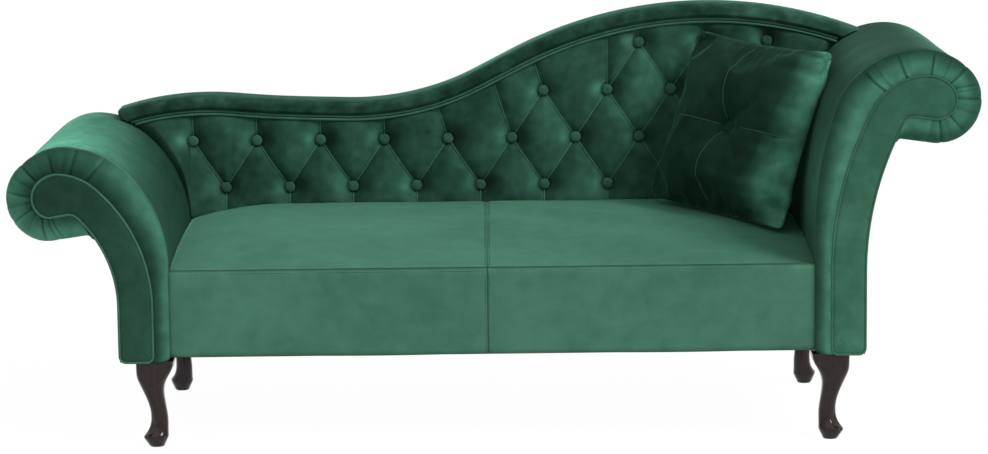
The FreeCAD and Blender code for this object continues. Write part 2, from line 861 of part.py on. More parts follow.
def cabriole_leg():
    """Square block, swelling knee, thin ankle set back and a pad foot with its toe out."""
    half = leg_block / 2
    keys = [(leg_height, half, leg_edge_round, 0.0),
            (knee_height, knee_half, knee_half * 0.5, knee_out),
            (shin_height, shin_half, shin_half * 0.65, 0.0),
            (ankle_height, ankle_half, ankle_half * 0.8, -ankle_in),
            (heel_height, heel_half, heel_half * 0.8, -heel_in),
            (toe_height, toe_half, toe_half * 0.86, toe_out)]
    sections = [leg_section(*keys[0])]
    for index in range(len(keys) - 1):
        around = [keys[max(index - 1, 0)], keys[index], keys[index + 1],
                  keys[min(index + 2, len(keys) - 1)]]
        sections.append(leg_section(*[between(*values) for values in zip(*around)]))
        sections.append(leg_section(*keys[index + 1]))
    sections.append(leg_section(0.0, sole_half, sole_half * 0.86, toe_out))
    leg = stack(sections)
    return leg.cut(bolt_hole(V(0, 0, leg_height - hanger_below), V(0, 0, 1), hanger_below + gap))


def make_legs():
    leg = cabriole_leg()
    bolts = []
    nuts = []
    for side_x, side_name in ((-1, "left"), (1, "right")):
        for side_y, end_name in ((-1, "front"), (1, "rear")):
            placed = leg.copy()
            if side_x < 0:
                placed = placed.mirror(V(0, 0, 0), V(1, 0, 0))
            if side_y < 0:
                placed = placed.mirror(V(0, 0, 0), V(0, 1, 0))
            axis = V(side_x * leg_x, side_y * leg_y, 0)
            placed.translate(axis)
            save(end_name + "_" + side_name + "_leg", placed)
            bottom = axis + V(0, 0, leg_height - hanger_below)
            bolts.append(rod(bottom, V(0, 0, 1), bolt_radius, hanger_below + hanger_above))
            seat = axis + V(0, 0, arm_board_top - tee_nut_length)
            nut = polygon(seat, V(1, 0, 0), V(0, 1, 0), tee_nut_radius, 6)
            nut = Part.Face(nut).extrude(V(0, 0, tee_nut_length))
            nuts.append(nut.cut(bolt_hole(seat, V(0, 0, 1), tee_nut_length)))
    save("leg_bolts", *bolts)
    save("leg_nuts", *nuts)


def make_bolts():
    arm_bolts = []
    for place in rail_bolt_places():
        arm_bolts.append(bolt(place, V(1, 0, 0), bolt_length))
        arm_bolts.append(mirror_x(bolt(place, V(1, 0, 0), bolt_length)))
    save("arm_bolts", *arm_bolts)
    save("back_bolts", *[bolt(place, V(0, 1, 0), bolt_length) for place in back_bolt_places()])


def cushion_section(level, inset):
    """Outline of the cushion at one level: four sides that draw in between the corners."""
    half = cushion_side / 2 - inset
    draw = cushion_draw_in * half / (cushion_side / 2)
    points = []
    for side in range(4):
        turn = math.pi / 2 * side
        outward = V(math.cos(turn), math.sin(turn), 0)
        across = V(-outward.y, outward.x, 0)
        for step in range(cushion_side_steps):
            share = 2 * step / cushion_side_steps - 1
            reach = half - draw * (1 - share ** 2)
            points.append(outward * reach + across * (half * share) + V(0, 0, level))
    return Part.Wire(Part.makePolygon(points + points[:1]))


def make_cushion():
    rise = cushion_thickness / 2
    edge = cushion_edge / 2
    levels = [(edge + (rise - edge) * share, inset) for share, inset in cushion_crown]
    both = [(-level, inset) for level, inset in reversed(levels)] + levels
    body = stack([cushion_section(level, inset) for level, inset in both])
    sink = rise - cushion_button_sink
    hollow = [polygon(V(0, 0, height), V(1, 0, 0), V(0, 1, 0), radius, button_sides)
              for height, radius in ((sink, cushion_button_radius + 1),
                                     (rise + gap, 3 * cushion_button_radius))]
    body = body.cut(stack(hollow))
    edge_height = cushion_button_length - cushion_button_dome
    levels = [(0.0, 1.0), (edge_height, 1.0)]
    levels += [(edge_height + cushion_button_dome * dome, reach)
               for dome, reach in button_profile]
    knob = stack([polygon(V(0, 0, sink + height), V(1, 0, 0), V(0, 1, 0),
                          cushion_button_radius * share, button_sides)
                  for height, share in levels])
    for name, shape in (("scatter_cushion", body), ("cushion_button", knob)):
        # The face first looks up; stand it up to look forwards, then tip, lean and turn it
        shape.rotate(V(0, 0, 0), V(1, 0, 0), 90)
        shape.rotate(V(0, 0, 0), V(0, 1, 0), cushion_tilt)
        shape.rotate(V(0, 0, 0), V(1, 0, 0), -cushion_lean)
        shape.rotate(V(0, 0, 0), V(0, 0, 1), -cushion_turn)
        shape.translate(cushion_centre)
        save(name, shape)


os.makedirs("parts", exist_ok=True)
make_seat_frame()
make_arm("low_arm", low_arm, mirror_x)
make_arm("high_arm", high_arm, lambda shape: shape)
make_seat()
make_back()
make_bolts()
make_legs()
make_cushion()
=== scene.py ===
import math

import bmesh
import bpy
import numpy as np
from mathutils import Matrix, Vector, noise


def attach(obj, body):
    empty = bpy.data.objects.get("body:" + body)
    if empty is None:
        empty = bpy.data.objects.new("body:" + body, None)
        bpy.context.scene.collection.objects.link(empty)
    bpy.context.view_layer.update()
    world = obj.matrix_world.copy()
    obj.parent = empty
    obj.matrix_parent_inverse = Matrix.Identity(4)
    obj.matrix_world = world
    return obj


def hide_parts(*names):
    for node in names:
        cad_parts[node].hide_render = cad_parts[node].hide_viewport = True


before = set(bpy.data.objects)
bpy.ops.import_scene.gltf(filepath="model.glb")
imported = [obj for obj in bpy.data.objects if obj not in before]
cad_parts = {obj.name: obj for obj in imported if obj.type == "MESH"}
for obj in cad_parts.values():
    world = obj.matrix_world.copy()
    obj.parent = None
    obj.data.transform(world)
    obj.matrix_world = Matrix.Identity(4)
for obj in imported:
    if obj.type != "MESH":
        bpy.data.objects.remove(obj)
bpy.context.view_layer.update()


# The timber frame.  Hardwood rails, slats and blocks are glued and screwed into an open
# box under the seat and into each arm; the scroll-shaped boards of the arms and the board
# of the back are plywood.  Upholstery hides nearly all of it.
class Surface:
    """The nodes of a material, or of the room, while they are put together."""

    def __init__(self, block):
        block.use_nodes = True
        self.block = block
        self.nodes, self.links = block.node_tree.nodes, block.node_tree.links

    def fill(self, node, values):
        """Sets each input, or links it where the value comes out of another node."""
        for name, value in values.items():
            if isinstance(value, bpy.types.NodeSocket):
                self.links.new(value, node.inputs[name])
            else:
                node.inputs[name].default_value = value

    def add(self, kind, values, **settings):
        node = self.nodes.new("ShaderNode" + kind)
        for name, value in settings.items():
            setattr(node, name, value)
        self.fill(node, values)
        return node


class Finish(Surface):
    """A procedural material, placed by the piece's own coordinates."""

    def __init__(self, name):
        super().__init__(bpy.data.materials.new(name))
        self.where = self.add("TexCoord", {}).outputs["Object"]

    def stretched(self, stretch):
        """Coordinates drawn out along the grain, the weave or the nap."""
        return self.add("Mapping", {"Scale": stretch, "Vector": self.where}).outputs["Vector"]

    def cloud(self, where, scale, detail, distortion=0.0):
        """A cloudy pattern of a given fineness."""
        return self.add("TexNoise", {"Scale": scale, "Detail": detail, "Distortion": distortion,
                                     "Vector": where}).outputs["Fac"]

    def coloured(self, pattern, *stops):
        """Two colours mixed by a pattern's value; each stop is a value and a colour."""
        ramp = self.add("ValToRGB", {"Fac": pattern})
        for element, (place, colour) in zip(ramp.color_ramp.elements, stops):
            element.position = place
            element.color = (*colour, 1.0)
        return ramp.outputs["Color"]

    def cover(self, colour, relief, strength, depth, roughness, **shine):
        """Gives the shader its colour, fine relief in metres and how it shines."""
        bump = self.add("Bump", {"Strength": strength, "Distance": depth, "Height": relief})
        shader = self.nodes["Principled BSDF"]
        self.fill(shader, {"Base Color": colour, "Normal": bump.outputs["Normal"], "Roughness": roughness})
        self.fill(shader, {name.replace("_", " "): value for name, value in shine.items()})
        return self.block


def sawn_timber(name, pale, dark, stretch):
    finish = Finish(name)
    grain = finish.cloud(finish.stretched(stretch), 9.0, 6.0, 0.6)
    return finish.cover(finish.coloured(grain, (0.35, dark), (0.62, pale)), grain, 0.35, 0.0004, roughness=0.7)


def finish_nodes(material, *names):
    for name in names:
        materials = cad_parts[name].data.materials
        materials.clear()
        materials.append(material)


rail_timber = sawn_timber("rail_timber", (0.46, 0.29, 0.15), (0.29, 0.165, 0.075), (1.0, 14.0, 14.0))
cross_timber = sawn_timber("cross_timber", (0.44, 0.28, 0.15), (0.27, 0.155, 0.07), (14.0, 1.0, 14.0))
post_timber = sawn_timber("post_timber", (0.45, 0.29, 0.15), (0.28, 0.16, 0.07), (14.0, 14.0, 1.0))
scroll_plywood = sawn_timber("scroll_plywood", (0.52, 0.36, 0.2), (0.38, 0.25, 0.13), (2.0, 60.0, 8.0))
finish_nodes(rail_timber, "front_rail", "rear_rail", "back_bottom_rail", "corner_blocks")
finish_nodes(cross_timber, "left_end_rail", "right_end_rail", "centre_rail")
finish_nodes(post_timber, "back_uprights")
finish_nodes(scroll_plywood, "back_board")
for arm in ("low_arm", "high_arm"):
    finish_nodes(scroll_plywood, arm + "_front_board", arm + "_rear_board", arm + "_base_board")
    finish_nodes(cross_timber, arm + "_slats", arm + "_lower_rail")


# Bolts and nuts.  Zinc-plated steel: they pull the arms and the back to the seat frame,
# and the hanger bolts of the legs turn into tee nuts in the arms' base boards.
steel = Finish("zinc_plated_steel")
spangle = steel.cloud(steel.where, 240.0, 3.0)
steel_colour = steel.coloured(spangle, (0.3, (0.42, 0.43, 0.41)), (0.7, (0.62, 0.62, 0.58)))
finish_nodes(steel.cover(steel_colour, spangle, 0.2, 0.0001, roughness=0.38, Metallic=1.0),
             "arm_bolts", "back_bolts", "leg_bolts", "leg_nuts")


# The webbing.  Two layers of woven jute bands, stretched from rail to rail and tacked
# down, that carry the seat.
jute = Finish("jute_webbing")
weave = jute.add("TexWave", {"Scale": 90.0, "Distortion": 1.5, "Vector": jute.where}).outputs["Fac"]
jute_colour = jute.coloured(weave, (0.2, (0.2, 0.13, 0.065)), (0.8, (0.42, 0.3, 0.17)))
finish_nodes(jute.cover(jute_colour, weave, 0.5, 0.0006, roughness=0.9), "webbing_across", "webbing_along")


# The dust cover.  Black non-woven cloth stapled under the seat frame; it hangs a little
# slack between the rails.
def new_piece(name, points, faces, material, body="chaise"):
    """A closed mesh from points in millimetres, shaded smooth, riding on its body."""
    mesh = bpy.data.meshes.new(name)
    mesh.from_pydata([tuple(float(value) * 0.001 for value in point) for point in points], [], faces)
    mesh.validate()
    mesh.update()
    mesh.polygons.foreach_set("use_smooth", [True] * len(mesh.polygons))
    piece = bpy.data.objects.new(name, mesh)
    bpy.context.scene.collection.objects.link(piece)
    mesh.materials.append(material)
    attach(piece, body)
    # All faces look outwards
    work = bmesh.new()
    work.from_mesh(mesh)
    bmesh.ops.recalc_face_normals(work, faces=work.faces)
    work.to_mesh(mesh)
    work.free()
    return piece


def skin_faces(rows, columns, closed_rows=False, closed_columns=False, start=0):
    """The four-sided faces of a grid of points, told row by row."""
    faces = []
    for row in range(rows if closed_rows else rows - 1):
        after = (row + 1) % rows
        for column in range(columns if closed_columns else columns - 1):
            beside = (column + 1) % columns
            faces.append((start + row * columns + column, start + row * columns + beside,
                          start + after * columns + beside, start + after * columns + column))
    return faces


def new_sheet(name, front, back, material):
    """A piece with two sides, from two grids of points of the same shape."""
    rows, columns = front.shape[:2]
    count = rows * columns
    faces = skin_faces(rows, columns)
    faces += [tuple(reversed(face)) for face in skin_faces(rows, columns, start=count)]
    border = list(range(columns))
    border += [row * columns + columns - 1 for row in range(1, rows)]
    border += [(rows - 1) * columns + column for column in range(columns - 2, -1, -1)]
    border += [row * columns for row in range(rows - 2, 0, -1)]
    for corner, after in zip(border, border[1:] + border[:1]):
        faces.append((corner, corner + count, after + count, after))
    return new_piece(name, np.concatenate([front.reshape(-1, 3), back.reshape(-1, 3)]), faces, material)


def strung(x, y, z):
    """Points from their three coordinates; one number serves for all of them."""
    return np.stack(np.broadcast_arrays(x, y, z), axis=-1).astype(float)


SEAT_HALF = 599.5
SEAT_FRONT = -287.0
SEAT_BACK = 232.5
DUST_FRONT = -281.5
DUST_TOP = 170.4
DUST_SLACK = 2.2
felt_cloth = Finish("dust_cloth")
felt = felt_cloth.cloud(felt_cloth.where, 700.0, 2.0)
felt_colour = felt_cloth.coloured(felt, (0.3, (0.008, 0.008, 0.009)), (0.7, (0.03, 0.03, 0.032)))
dust_x, dust_y = np.meshgrid(np.linspace(-SEAT_HALF, SEAT_HALF, 61), np.linspace(DUST_FRONT, SEAT_BACK, 27))
slack = DUST_SLACK * np.cos(dust_x / SEAT_HALF * math.pi / 2) * np.sin((dust_y - DUST_FRONT) / 514.0 * math.pi)
under = strung(dust_x, dust_y, DUST_TOP - slack)
dust_sheet = new_sheet("dust_sheet", under, under + np.array([0.0, 0.0, 0.7]),
                       felt_cloth.cover(felt_colour, felt, 0.3, 0.0003, roughness=0.95))
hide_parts("dust_cover")


# The legs.  Turned and carved beech, lacquered nearly black: a square block, a knee that
# swells out of the corner, a thin ankle set back under it and a pad foot whose toe looks
# out along the diagonal, with a crisp rim over a smaller sole.
LEG_X = 627.0
LEG_Y = 262.0
LEG_ROUND_STEPS = 9
# Height, half width, share of it that is rounded, how far out along the diagonal, how far
# the toe draws out to a point, and how deep the hollow over the toe is
LEG_SHAPE = (
    (165.0, 34.4, 0.15, 0.0, 0.0, 0.0), (157.0, 34.2, 0.2, 0.4, 0.0, 0.0), (147.0, 32.6, 0.3, 2.2, 0.0, 0.0),
    (138.0, 30.0, 0.42, 4.6, 0.0, 0.0), (129.0, 26.6, 0.5, 6.2, 0.0, 0.0), (120.0, 23.0, 0.56, 6.4, 0.0, 0.0),
    (110.0, 20.0, 0.6, 5.4, 0.0, 0.0), (100.0, 18.0, 0.66, 3.6, 0.0, 0.0), (88.0, 16.4, 0.72, 1.0, 0.0, 0.0),
    (76.0, 15.5, 0.78, -1.4, 0.0, 0.0), (64.0, 15.4, 0.84, -3.2, 0.0, 0.4), (54.0, 15.8, 0.86, -3.8, 0.2, 1.6),
    (46.0, 16.2, 0.88, -3.8, 0.8, 3.6), (39.0, 16.8, 0.88, -3.2, 1.8, 5.4), (33.0, 17.8, 0.88, -2.2, 3.2, 6.0),
    (28.0, 19.0, 0.88, -1.1, 4.8, 5.2), (24.0, 20.2, 0.88, 0.0, 6.2, 2.8), (21.5, 20.9, 0.88, 0.6, 7.0, 0.7),
    (19.5, 21.1, 0.88, 0.8, 7.0, 0.0), (17.0, 20.6, 0.88, 1.0, 6.0, 0.0), (12.0, 18.6, 0.9, 1.2, 4.2, 0.0),
    (6.0, 15.8, 0.92, 1.4, 2.2, 0.0), (1.5, 13.8, 0.94, 1.4, 0.8, 0.0), (0.0, 12.4, 0.95, 1.4, 0.5, 0.0))


def leg_ring(height, half, rounded, out, toe, dish):
    """One level of the leg with its toe towards +X and +Y."""
    corner = half * rounded
    inner = half - corner
    ring = []
    for quarter in range(4):
        middle = math.pi / 4 + math.pi / 2 * quarter
        for step in range(LEG_ROUND_STEPS + 1):
            turn = math.pi / 2 * (quarter + step / LEG_ROUND_STEPS)
            x = math.copysign(inner, math.cos(middle)) + corner * math.cos(turn)
            y = math.copysign(inner, math.sin(middle)) + corner * math.sin(turn)
            aside = math.atan2(y, x) - math.pi / 4
            reach = toe * max(0.0, math.cos(aside)) ** 3 - dish * math.exp(-(aside / 0.5) ** 2)
            ring.append((x + out + reach * 0.7, y + out + reach * 0.7, height))
    return ring


def smooth_rows(rows, per_row):
    """More levels on a smooth line through the given ones."""
    table = np.array(rows)
    last = len(table) - 1
    result = []
    for place in np.linspace(0, last, last * per_row + 1):
        start = min(int(place), last - 1)
        share = place - start
        before, low, high, after = (table[max(min(index, last), 0)] for index in range(start - 1, start + 3))
        result.append(low + 0.5 * share * (high - before + share * (
            2 * before - 5 * low + 4 * high - after + share * (3 * (low - high) + after - before))))
    return result


def new_tubes(name, tubes, material, body="chaise"):
    """A piece of one or more tubes, each told by rings of points and closed at its ends."""
    points, faces = [], []
    for rings in tubes:
        rows, columns = rings.shape[:2]
        first, last = len(points), len(points) + (rows - 1) * columns
        points.extend(rings.reshape(-1, 3))
        faces += skin_faces(rows, columns, closed_columns=True, start=first)
        faces.append(tuple(first + side for side in reversed(range(columns))))
        faces.append(tuple(last + side for side in range(columns)))
    return new_piece(name, points, faces, material, body)


wood = Finish("espresso_lacquer")
wood_grain = wood.cloud(wood.stretched((22.0, 22.0, 2.2)), 7.0, 5.0, 0.8)
wood_colour = wood.coloured(wood_grain, (0.3, (0.009, 0.0045, 0.0035)), (0.75, (0.026, 0.012, 0.009)))
lacquer = wood.cover(wood_colour, wood_grain, 0.12, 0.0003, roughness=0.16, Specular_IOR_Level=0.2,
                     Coat_Weight=0.22, Coat_Roughness=0.04)
leg_levels = np.array([leg_ring(*row) for row in smooth_rows(LEG_SHAPE, 3)])
for end_name, end in (("left", -1), ("right", 1)):
    for side_name, side in (("front", -1), ("rear", 1)):
        rings = leg_levels * (end, side, 1) + (end * LEG_X, side * LEG_Y, 0)
        leg = new_tubes(side_name + "_" + end_name + "_cabriole", [rings], lacquer)
        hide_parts(side_name + "_" + end_name + "_leg")


# The arms.  A thick padded cover goes up the inner face, over the scroll and under it to
# the notch, rolls softly over the front edge and is tucked in small pleats round the
# scroll.  A piped, padded facing closes the front and thinner cloth the outside.
def velvet(name, deep, light, nap=(1.0, 1.0, 1.0), sheen=0.5, takes_painted_light=True):
    """Cut pile that lies one way here and another there, and so is never one green; a copy that takes painted
    light has its colour scaled point by point by painted light and shade.
    """
    finish = Finish(name)
    brushed = finish.stretched(nap)
    drift = finish.cloud(brushed, 3.2, 3.0, 0.7)
    crushed = finish.cloud(brushed, 34.0, 6.0, 0.5)
    pile_and_painted_light = finish.cloud(finish.where, 900.0, 2.0)
    mixed = finish.add("Mix", {"Factor": 0.42, "A": drift, "B": crushed}).outputs["Result"]
    grained = finish.add("Mix", {"Factor": 0.14, "A": mixed, "B": pile_and_painted_light}).outputs["Result"]
    colour = finish.coloured(grained, (0.4, deep), (0.6, light))
    if takes_painted_light:
        shade = finish.add("Attribute", {}, attribute_name="painted_light").outputs["Fac"]
        colour = finish.add("VectorMath", {0: colour, "Scale": shade}, operation="SCALE").outputs["Vector"]
    return finish.cover(colour, pile_and_painted_light, 0.22, 0.0005, roughness=0.85,
                        Specular_IOR_Level=0.12, Specular_Tint=(0.5, 0.95, 0.72, 1.0),
                        Sheen_Weight=sheen, Sheen_Roughness=0.38, Sheen_Tint=(0.28, 0.86, 0.59, 1.0))


def paint_light_and_tone(piece, shades):
    """Paints point by point how light the colour is there, as painted light and shade and as plain tone, the same
    on both sides of a sheet.
    """
    layer = piece.data.attributes.new("painted_light", "FLOAT", "POINT")
    shades = np.resize(shades, len(piece.data.vertices))
    layer.data.foreach_set("value", np.clip(shades, 0.04, 6.0).astype(np.float32))


# Each part has its own copy of the one green velvet, set lighter or darker as painted light and shade: the
# facing's is darker, and the piping's lighter, a painted highlight on the cords, the band's welts and the
# cushion's drawn lines.
arm_velvet = velvet("arm_velvet", (0.0274, 0.1, 0.064), (0.0479, 0.158, 0.104), nap=(1.0, 0.6, 1.0), sheen=0.16)
facing_velvet = velvet("facing_velvet", (0.0228, 0.076, 0.047), (0.0365, 0.114, 0.072), sheen=0.25)
piping_velvet = velvet("piping_velvet", (0.0388, 0.12, 0.078), (0.0593, 0.17, 0.112), sheen=0.4, takes_painted_light=False)

ARM_FRONT = -297.0           # where the cover meets the piping
PIPING_RADIUS = 2.4
FACING_FRONT = -305.0
REAR = 305.0
BASE = 165.0
INNER_X = 600.0
CREST_X = 787.94
STEM_WIDTH = 62.0
FACING_INSET = 28.0          # how far inside the cover the facing's outline lies
FACING_CREST = (12.0, -44.0)
COVER_RADII = (160.0, 127.0, 76.0)   # shoulder, crest and roll
FACING_RADII = (110.0, 63.0, 36.0)
ROLL_UNDER = 8.0             # the underside of the roll falls by this many degrees
LOW_COVER_SHORTER = 10.0     # the low scroll against the high one
LOW_FACING_SHORTER = 13.0
STEM_RADII = {"low_arm": 232.7, "high_arm": 587.6}
CRESTS = {"low_arm": 562.0, "high_arm": 725.0}
CURVE_STARTS = {"low_arm": 340.0, "high_arm": 390.0}
NOTCH_FILLETS = {"low_arm": 24.0, "high_arm": 16.0}
# Steps on each stretch of the scroll's outline: inner face, long curve, shoulder, crest,
# roll, underside, notch, outside of the stem, its upright
SCROLL_STEPS = (40, 110, 60, 66, 120, 32, 10, 44, 16)
COVER_COLUMNS = sum(SCROLL_STEPS[:7]) + 1


class Trace:
    """A line drawn by straight runs and bends, seen from the front."""

    def __init__(self, x, z, heading):
        self.points = [(x, z)]
        self.heading = math.radians(heading)

    def run(self, length, steps):
        x, z = self.points[-1]
        for step in range(1, steps + 1):
            reach = length * step / steps
            self.points.append((x + reach * math.cos(self.heading), z + reach * math.sin(self.heading)))

    def bend(self, radius, sweep, steps):
        """A bend that turns left where the sweep, in degrees, is above nought."""
        x, z = self.points[-1]
        side = math.copysign(1.0, sweep)
        centre_x = x - side * radius * math.sin(self.heading)
        centre_z = z + side * radius * math.cos(self.heading)
        turn = math.radians(sweep)
        for step in range(1, steps + 1):
            angle = self.heading + turn * step / steps - side * math.pi / 2
            self.points.append((centre_x + radius * math.cos(angle), centre_z + radius * math.sin(angle)))
        self.heading += turn


def rising(distance, reach):
    """From nought, where the distance starts, to one at its reach."""
    return np.clip(distance / reach, 0, 1)


def scroll_outline(arm, inset, over_facing=False, corner=0.0):
    """The arm's outline from the foot of its inner face round to the foot of its stem."""
    facing_start = CURVE_STARTS[arm] - 70.0
    if over_facing:
        x, top_x, crest, start = INNER_X, CREST_X, CRESTS[arm], CURVE_STARTS[arm]
        (shoulder, top_radius, roll_radius), stem_inset = COVER_RADII, 0.0
    else:
        x, top_x, crest = INNER_X + FACING_INSET, CREST_X + FACING_CREST[0], CRESTS[arm] + FACING_CREST[1]
        (shoulder, top_radius, roll_radius), stem_inset, start = FACING_RADII, inset, facing_start
    x += inset
    shoulder -= inset
    across = top_x - x - shoulder
    up = crest - inset - start - shoulder
    sweep = 2 * math.atan2(across, up)
    long_radius = shoulder + up / math.sin(sweep)
    sweep = math.degrees(sweep)
    stem_radius = STEM_RADII[arm] + stem_inset
    stem_x = INNER_X + FACING_INSET + STEM_RADII[arm] + STEM_WIDTH
    fillet = NOTCH_FILLETS[arm] + min(inset, stem_inset)
    steps = SCROLL_STEPS
    foot = BASE + stem_inset
    trace = Trace(x, foot + corner, 90)
    trace.run(start - foot - corner, steps[0])
    trace.bend(long_radius, -sweep, steps[1])
    trace.bend(shoulder, sweep - 90, steps[2])
    trace.bend(top_radius - inset, -45.0, steps[3])
    trace.bend(roll_radius - inset, 45.0 - 180.0 - ROLL_UNDER, steps[4])
    # The notch's fillet touches the underside of the roll and the outside of the stem
    along = np.array([math.cos(trace.heading), math.sin(trace.heading)])
    down = np.array([-along[1], along[0]])
    stem_centre = np.array([stem_x, facing_start])
    offset = np.array(trace.points[-1]) + down * fillet - stem_centre
    half = offset @ along
    trace.run(-half + math.sqrt(half ** 2 - offset @ offset + (stem_radius - fillet) ** 2), steps[5])
    centre = np.array(trace.points[-1]) + down * fillet - stem_centre
    angle = math.degrees(math.atan2(centre[1], centre[0]))
    trace.bend(fillet, (angle + 90 - math.degrees(trace.heading)) % 360, steps[6])
    trace.bend(stem_radius, 180 - angle, steps[7])
    trace.run(facing_start - foot - corner, steps[8])
    if corner:
        trace.bend(corner, -90, 5)
        trace.run(trace.points[-1][0] - x - corner, 8)
        trace.bend(corner, -90, 5)
    line = np.array(trace.points)
    if arm == "low_arm":
        shorter = LOW_COVER_SHORTER if over_facing else LOW_FACING_SHORTER
        along = rising(line[:, 0] - 760.0, 120.0)
        line[:, 0] -= shorter * along ** 2 * (3 - 2 * along)
    return line


def outward_of(line):
    """The directions square to a line, on its left."""
    along = np.gradient(line, axis=0)
    along /= np.linalg.norm(along, axis=1)[:, None]
    return np.stack([-along[:, 1], along[:, 0]], axis=1)


def lengths_along(line):
    """How far along the line each of its points is."""
    steps = np.linalg.norm(np.diff(line, axis=0), axis=1)
    return np.concatenate([[0.0], np.cumsum(steps)])


def bell(distance, width):
    """One at no distance, and softly down to nought on both sides."""
    return np.exp(-(distance / width) ** 2)


def dying(distance, reach):
    """One at no distance, and dying away with it."""
    return np.exp(-distance / reach)


FRONT_ROLL = 28.0            # the cover's roll over the front edge, front to back
ROLL_FULLNESS = 6.0
OVER_PIPING = 3.4            # how far the roll stands forward of the piping
REAR_ROUND = 7.0
FOOT_ROUND = (4.0, 16.0)
CLOTH = 2.5
ROLL_STEPS = 26
ROLL_SPOT = (824.1, -90.9)   # the scroll's middle, and how far below the crest it lies
# Behind the roll: distance, and how far the cover stands in or out there
RIDGE = ((0.0, 2.6), (3.0, 3.2), (6.0, 3.0), (9.0, 1.8), (12.0, 0.0), (15.0, -2.2), (18.0, -3.8), (21.0, -4.4),
         (24.0, -4.0), (28.0, -2.6), (33.0, -1.0), (40.0, 0.2), (50.0, 0.8), (62.0, 0.8))
# Between these places along the cover the ridge comes up
DRAWN_UP = {"low_arm": (60, 190), "high_arm": (165, 232)}
# Pleats round the roll, as angles about its middle: at the piping, at the ridge, and depth
PLEATS = {
    "low_arm": ((158, 149, 1.0), (139, 126, 1.0), (128, 117, 0.35), (114, 96, 1.0), (97, 80, 0.4), (77, 58, 1.0),
                (52, 38, 0.5), (16, 13, 1.0), (-12, -12, 0.5), (-42, -38, 0.9), (-66, -66, 0.4), (-90, -97, 1.0),
                (-106, -112, 0.6), (-116, -120, 0.5)),
    "high_arm": ((169, 158, 1.0), (163, 150, 0.4), (145, 131, 1.0), (109, 95, 0.9), (84, 74, 0.35), (60, 50, 1.0),
                 (41, 20, 0.8), (30, 14, 0.5), (9, 1, 0.9), (-22, -20, 0.4), (-56, -51, 0.9), (-76, -74, 0.4),
                 (-93, -87, 0.9), (-110, -108, 0.5)),
}


def pleat_relief(arm, facing_line, cover_line, shares):
    """How far the cloth stands up or sinks, row by row, between the pleats and in them, and the painted shade in
    each pleat with painted light beside it.
    """
    centre = np.array([ROLL_SPOT[0], CRESTS[arm] + ROLL_SPOT[1]])
    # Angles fall from the foot, at about 235 degrees, round to the notch
    inner_turn, outer_turn = (np.degrees(np.unwrap(np.arctan2(*(line - centre).T[::-1]))) + 360
                              for line in (facing_line, cover_line))
    relief = np.zeros((len(shares), len(cover_line)))
    painted_pleat_shade = np.zeros_like(relief)
    spacing = lengths_along(cover_line)
    for number, (at_piping, at_ridge, strength) in enumerate(PLEATS[arm]):
        start = np.interp(-at_piping, -inner_turn, spacing)
        end = np.interp(-at_ridge, -outer_turn, spacing)
        reach = 1.02 + 0.1 * math.sin(number * 1.7)
        for row, share in enumerate(shares):
            place = start + (end - start) * share
            # Cloth lengths near the piping are shorter than on the cover's line
            aside = (spacing - place) * (0.55 + 0.45 * share)
            fade = max(0.0, 1.0 - (share / reach) ** 6) * strength
            fold = dying(np.abs(aside), 1.6) * 2.4 + bell(aside, 9.0) * 1.6
            step = np.where(aside > 0, dying(aside, 8.0), 0.0) * 2.0
            relief[row] -= (fold - step) * fade
            painted_pleat_shade[row] += (dying(np.abs(aside), 1.5) - 0.35 * bell(aside - 5.0, 3.0)) * fade
    return relief, painted_pleat_shade


def sag(points, size, amount=1.0):
    """Slight unevenness of a padded surface; size and amount are in millimetres."""
    values = [noise.noise(Vector(point) / size) for point in points.reshape(-1, 3)]
    return np.array(values).reshape(points.shape[:-1]) * amount


def quarter(steps):
    """Even turns through a quarter of a circle, for a rounded edge."""
    return np.linspace(0.0, math.pi / 2, steps)


def standing(line, y, side=1):
    """A line seen from the front, set up at its depth on the left or the right."""
    return strung(line[:, 0] * side, y, line[:, 1])


